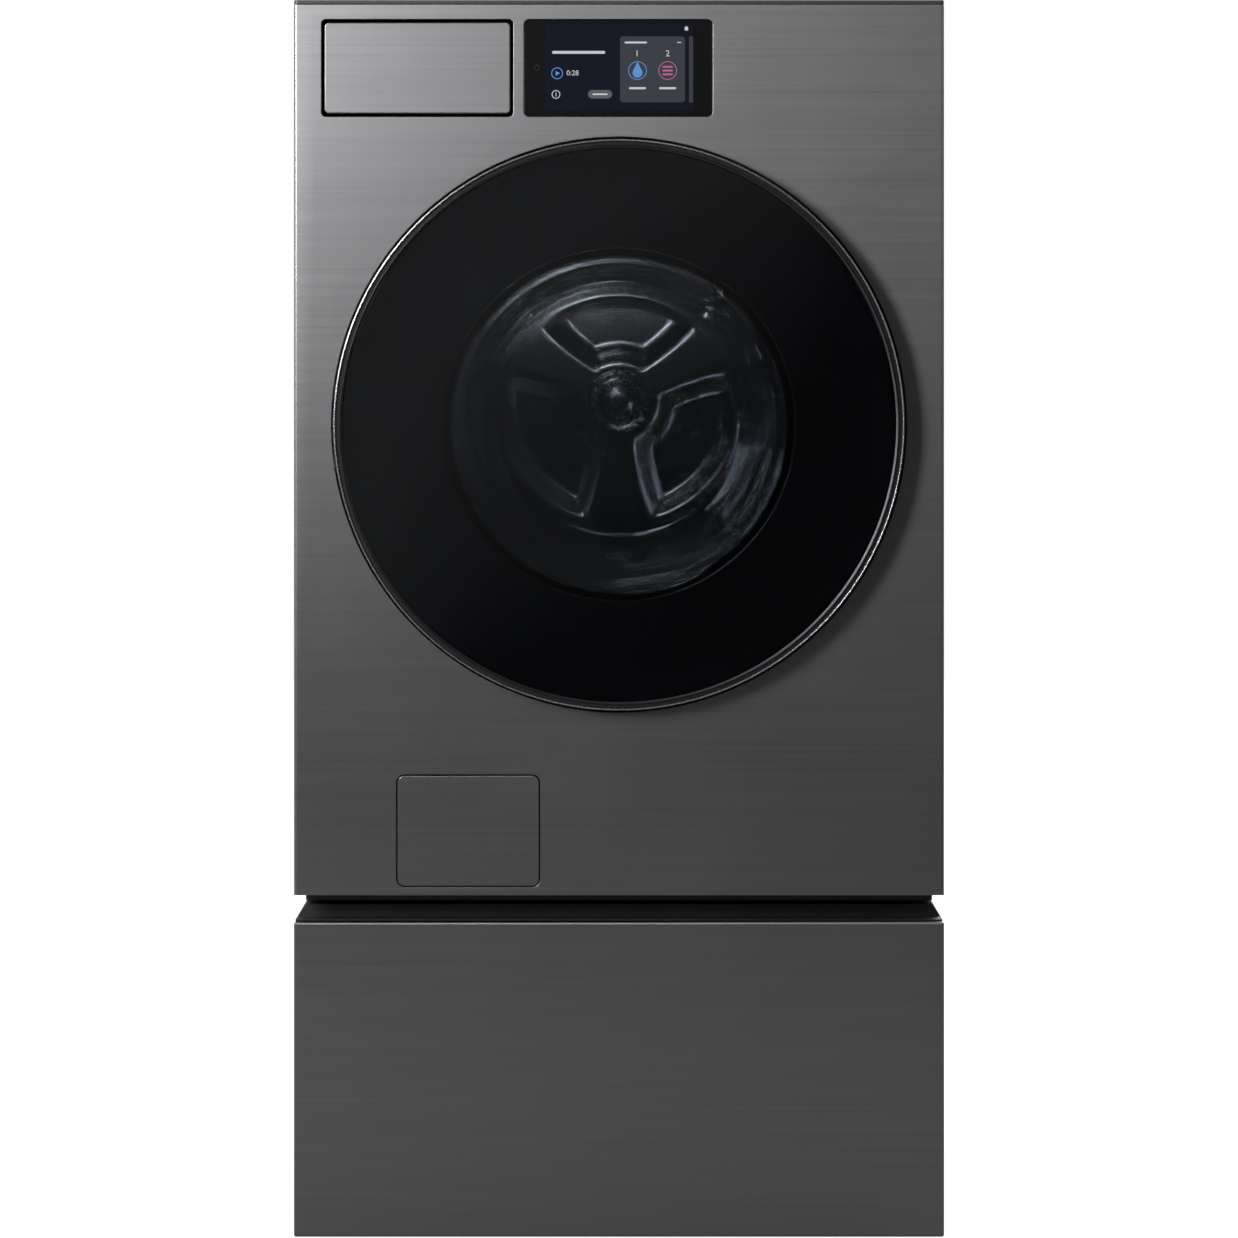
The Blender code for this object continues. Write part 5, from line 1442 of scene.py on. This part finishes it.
def make_inlets():
    """Inlet valve with two threaded ports, their strainers and solenoids, and the power socket."""
    low, high = box_of("water_valve")
    bm = soft_copy("water_valve", 0.0010)
    middle = (low.z + high.z) / 2
    port_x = [(low.x + high.x) / 2 + side * 0.030 for side in (-1, 1)]
    for x in port_x:
        merge_in(bm, soft_box(about(x, 0.014), (low.y - 0.012, low.y + 0.004),
                              (middle - 0.026, middle + 0.020), 0.003))
        for k in range(7):
            y = high.y - 0.0030 - k * 0.0022
            thread = [(0.0118, y - 0.0010), (0.0131, y), (0.0118, y + 0.0010)]
            merge_in(bm, lathe(thread, (x, 0, middle), 40))
    piece("inlet_valve", bm, BLACK, "cabinet", "grey_plastic", ["water_valve"])
    # The strainers close the ports with near-black discs: painted shade inside the bores.
    strain = bmesh.new()
    for x in port_x:
        ring = block(0.0078, 0.0098, high.y - 0.0002, high.y - 0.00002)
        merge_in(strain, lathe(ring, (x, 0, middle), 40))
        merge_in(strain, lathe(block(0, 0.0078, high.y - 0.00012, high.y - 0.00002), (x, 0, middle), 40))
    piece("inlet_strainers", strain, OPENING_SHADE, "cabinet", "black_plastic", (), 40)
    low, high = box_of("power_inlet")
    x, z = (low.x + high.x) / 2, (low.z + high.z) / 2
    outer = round_rect((low.x, high.x), (low.z, high.z), 0.004)
    well = [(x - 0.0125, z - 0.0085), (x + 0.0125, z - 0.0085), (x + 0.0125, z + 0.005),
            (x + 0.009, z + 0.0085), (x - 0.009, z + 0.0085), (x - 0.0125, z + 0.005)]
    bm = sheet_mesh([outer, well], high.y - 0.012, high.y, 0.0008)
    merge_in(bm, soft_box((low.x + 0.001, high.x - 0.001), (low.y, high.y - 0.0116),
                          (low.z + 0.001, high.z - 0.001), 0.002))
    piece("power_socket", bm, BLACK, "cabinet", "black_plastic", ["power_inlet"])
    pins = bmesh.new()
    for dx, dz in ((-0.007, -0.002), (0.007, -0.002), (0.0, 0.0030)):
        merge_in(pins, soft_box(about(x + dx, 0.0010), (high.y - 0.0120, high.y - 0.0030),
                                about(z + dz, 0.0022), 0.0004))
    piece("power_pins", pins, ZINC, "cabinet", "galvanised_sheet")


make_rear()
make_inlets()

# ---------------------------------------------------------------------------------------------
# Base and feet. A black upturned tray carries the machine. Each foot is a rubber pad on a threaded
# stem, locked by a hex nut.

BLACK_PAINT = moulded("black_paint", (0.010, 0.010, 0.011), (0.025, 0.025, 0.025), 0.35, 0.5, 600.0,
                      0.00005)
copy_piece("base_frame", "base_tray", BLACK_PAINT, "cabinet", "black_paint", 0.0015)


def upright_round(low, high):
    """Centre and radius of an upright round piece, from its box."""
    return (low.x + high.x) / 2, (low.y + high.y) / 2, (high.x - low.x) / 2


def make_foot(node):
    low, high = box_of(node)
    x, y, radius = upright_round(low, high)
    tall = high.z - low.z
    pad = tall * (0.5 if node.startswith("washer") else 0.6)
    top = low.z + pad
    body = [
        (0, low.z), (radius, low.z), (radius, low.z + pad * 0.55), (radius * 0.93, low.z + pad * 0.75),
        (radius * 0.80, top), (0, top),
    ]
    bm = lathe(soften(body, 0.0012, 3, False), (x, y, 0), 48, False, axis="Z")
    piece(f"{node}_pad", bm, RUBBER, "cabinet", "rubber", [node], 40)
    stem, pitch = 0.0060, 0.0016
    profile, height = [(0, top - 0.001), (stem, top - 0.001)], top
    while height + pitch < high.z:
        profile += [(stem, height), (stem - 0.0006, height + pitch / 2)]
        height += pitch
    profile += [(stem, high.z), (0, high.z)]
    metal = lathe(profile, (x, y, 0), 32, False, axis="Z")
    nut = block(0.0061, 0.0115, top, top + min(0.005, tall - pad))
    merge_in(metal, lathe(nut, (x, y, 0), 6, True, axis="Z"))
    piece(f"{node}_stem", metal, ZINC, "cabinet", "rubber")


for machine in ("washer", "pedestal"):
    for along in ("front", "rear"):
        for across in ("left", "right"):
            make_foot(f"{machine}_foot_{along}_{across}")

# ---------------------------------------------------------------------------------------------
# Drain. Pump with a finned motor, a screw-in filter with a raised grip and notched rim, and the
# corrugated hoses to and from it. The hose up to the tub is corrugated so that it can bend as the tub
# bounces.

GRIP = moulded("filter_grey", (0.22, 0.225, 0.23), (0.16, 0.16, 0.16), 0.4, 0.55)


def corrugated(radius, bore, low, high, centre, axis, pitch, cuff):
    """Hose with round corrugations between two smooth cuffs."""
    profile = [(radius, low), (radius, low + cuff)]
    count = max(int((high - low - 2 * cuff) / pitch), 1)
    step = (high - low - 2 * cuff) / count
    for k in range(count):
        start = low + cuff + k * step
        profile += [
            (radius - 0.0022, start + step * 0.15), (radius - 0.0022, start + step * 0.40),
            (radius, start + step * 0.60), (radius, start + step * 0.85),
        ]
    profile += [(radius, high - cuff), (radius, high)]
    wall = [(bore, high), (bore, low)]
    return lathe(soften(profile, 0.0008, 2, False) + wall, centre, 48, True, None, axis)


def make_drain():
    low, high = box_of("drain_pump")
    x, z, radius = (low.x + high.x) / 2, (low.z + high.z) / 2, (high.x - low.x) / 2
    bm = soft_copy("drain_pump", 0.0015)
    for k in range(7):
        y = high.y - 0.008 - k * 0.006
        fin = [(radius - 0.002, y - 0.0012), (radius + 0.0022, y - 0.0010), (radius + 0.0022, y + 0.0010),
               (radius - 0.002, y + 0.0012)]
        merge_in(bm, lathe(fin, (x, 0, z), 64))
    piece("pump_body", bm, BLACK, "cabinet", "black_plastic", ["drain_pump"])
    copy_piece("pump_filter", "filter_plug", GRIP, "filter", "grey_plastic", 0.0011, 3, angle=40)
    low, high = box_of("pump_filter")
    tooth = add_mesh("tooth_item", soft_box(about(0, 0.0011), about(0, 0.0045), (-0.0003, 0.0007), 0.0003))
    rim = (0, low.y + 0.022, z)
    ring_pattern("filter_grip", tooth, GRIP, "filter", "grey_plastic", (x, rim[1], z),
                 (high.x - low.x) / 2 - 0.0007, 40, Outward=1.0, Along=0.0)
    drop_item(tooth)
    low, high = box_of("drain_pipe")
    radius = (high.x - low.x) / 2
    pipe = corrugated(radius, radius * 0.7, low.y, high.y, (x, 0, z), "Y", 0.0085, 0.022)
    piece("drain_tube", pipe, RUBBER, "cabinet", "rubber", ["drain_pipe"], 50)


def make_hose(node, name):
    """Bellows hose between the cabinet and the tub."""
    low, high = box_of(node)
    x, y, radius = upright_round(low, high)
    bm = corrugated(radius, radius * 0.8, low.z, high.z, (x, y, 0), "Z", 0.0090,
                    min(0.014, (high.z - low.z) * 0.2))
    obj = piece(name, bm, RUBBER, None, "rubber", [node], 90)
    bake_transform(obj)


make_drain()
make_hose("sump_hose", "sump_bellows")
make_hose("fill_hose", "fill_bellows")

# ---------------------------------------------------------------------------------------------
# Suspension. The tub hangs from two coil springs hooked under the lid and is steadied by two
# friction dampers that stand on the base.


def swept(points, radius, sides=8):
    """Round wire along a path, with closed ends."""
    bm = bmesh.new()
    rings = []
    across = Vector((0, 1, 0))
    for k, point in enumerate(points):
        ahead = points[min(k + 1, len(points) - 1)] - points[max(k - 1, 0)]
        ahead.normalize()
        across = (across - ahead * across.dot(ahead)).normalized()
        other = ahead.cross(across)
        ring = []
        for side in range(sides):
            angle = math.tau * side / sides
            ring.append(bm.verts.new(point + radius * (math.cos(angle) * across + math.sin(angle) * other)))
        rings.append(ring)
    for near, far in zip(rings, rings[1:]):
        for k in range(sides):
            m = (k + 1) % sides
            bm.faces.new((near[k], near[m], far[m], far[k]))
    bm.faces.new(rings[0])
    bm.faces.new(rings[-1])
    bmesh.ops.recalc_face_normals(bm, faces=bm.faces)
    return bm


def make_spring(name):
    low, high = box_of(f"spring_{name}")
    x, y = (low.x + high.x) / 2, (low.y + high.y) / 2
    wire, turns, steps, hook = 0.0016, 26, 20, 0.030
    radius = (high.x - low.x) / 2 - wire
    bottom, top = low.z + wire, high.z - wire
    points = [Vector((x, y, bottom)), Vector((x, y, bottom + hook * 0.7))]
    coil_low, coil_high = bottom + hook, top - hook
    for k in range(turns * steps + 1):
        share = k / (turns * steps)
        swell = min(1.0, share * turns / 0.5, (1 - share) * turns / 0.5)
        angle = math.tau * turns * share
        reach = radius * swell
        points.append(Vector((x + reach * math.cos(angle), y + reach * math.sin(angle),
                              coil_low + (coil_high - coil_low) * share)))
    points += [Vector((x, y, top - hook * 0.7)), Vector((x, y, top))]
    obj = piece(f"coil_{name}", swept(points, wire), ZINC, None, "galvanised_sheet", [f"spring_{name}"], 90)
    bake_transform(obj)


def make_damper(name):
    low, high = box_of(f"damper_cylinder_{name}")
    x, y, radius = upright_round(low, high)
    barrel = [
        (0, low.z), (radius, low.z), (radius, low.z + 0.012), (radius - 0.002, low.z + 0.015),
        (radius - 0.002, high.z - 0.016), (radius, high.z - 0.013), (radius, high.z), (0.0112, high.z),
        (0.0112, low.z + 0.008), (0, low.z + 0.008),
    ]
    bm = lathe(soften(barrel, 0.001, 3, False), (x, y, 0), 48, False, axis="Z")
    piece(f"damper_barrel_{name}", bm, BLACK, "cabinet", "black_plastic", [f"damper_cylinder_{name}"], 40)
    low, high = box_of(f"damper_rod_{name}")
    radius = (high.x - low.x) / 2
    rod = [(0, low.z), (radius, low.z), (radius, high.z - 0.014), (radius * 0.7, high.z - 0.012),
           (radius * 0.7, high.z - 0.004), (radius, high.z - 0.002), (radius, high.z), (0, high.z)]
    bm = lathe(soften(rod, 0.0008, 3, False), (x, y, 0), 40, False, axis="Z")
    piece(f"damper_piston_{name}", bm, ZINC, "tub", "galvanised_sheet", [f"damper_rod_{name}"], 40)


for name in ("left", "right"):
    make_spring(name)
    make_damper(name)
copy_piece("door_lock", "lock_housing", BLACK, "cabinet", "black_plastic", 0.0012)

# ---------------------------------------------------------------------------------------------
# Pedestal. A painted steel box under a stepped black top, with a zinc-coated drawer box on
# telescopic runners. Its rolled hem and pressed floor keep the drawer stiff.


def make_pedestal():
    copy_piece("pedestal_cabinet", "pedestal_box", PAINT, "cabinet", "painted_side", 0.0006)
    copy_piece("pedestal_top", "pedestal_lid", BLACK_PAINT, "cabinet", "black_plastic", 0.0010)
    low, high = box_of("drawer_box")
    bm = soft_copy("drawer_box", 0.0003, 1)
    for k in range(5):
        y = low.y + 0.10 + k * 0.10
        merge_in(bm, soft_box((low.x + 0.05, high.x - 0.05), about(y, 0.009),
                              (low.z + 0.0008, low.z + 0.0026), 0.0008))
    hem = 0.0016
    for x in (low.x + hem, high.x - hem):
        merge_in(bm, soft_box((x - hem, x + hem), (low.y + 0.002, high.y - 0.002), (high.z - 0.008, high.z),
                              0.0012))
    merge_in(bm, soft_box((low.x + 0.002, high.x - 0.002), (high.y - 2 * hem, high.y),
                          (high.z - 0.008, high.z), 0.0012))
    piece("drawer_bin", bm, SHEET_ZINC, "storage_drawer", "galvanised_sheet", ["drawer_box"])
    for name in ("left", "right"):
        node = f"drawer_runner_{name}"
        low, high = box_of(node)
        bm = soft_box((low.x, high.x), (low.y, high.y), (low.z, high.z), 0.0016, 3)
        piece(f"runner_{name}", bm, ZINC, "drawer_runners", "galvanised_sheet", [node])
        side = 1 if name == "left" else -1
        face = high.x if side > 0 else low.x
        ball = make_item("ball_item", [(0, -0.0001), (0.0030, -0.0001), (0.0024, 0.0011), (0, 0.0015)], 16)
        balls = bmesh.new()
        for z in (low.z + 0.007, high.z - 0.007):
            merge_in(balls, row_pattern(ball, ZINC, 22, (face, low.y + 0.03, z), (0, 0.0205, 0),
                                        (0, side * math.pi / 2, 0)))
        drop_item(ball)
        piece(f"runner_balls_{name}", balls, CHROME, "drawer_runners", "galvanised_sheet", (), 40)


make_pedestal()
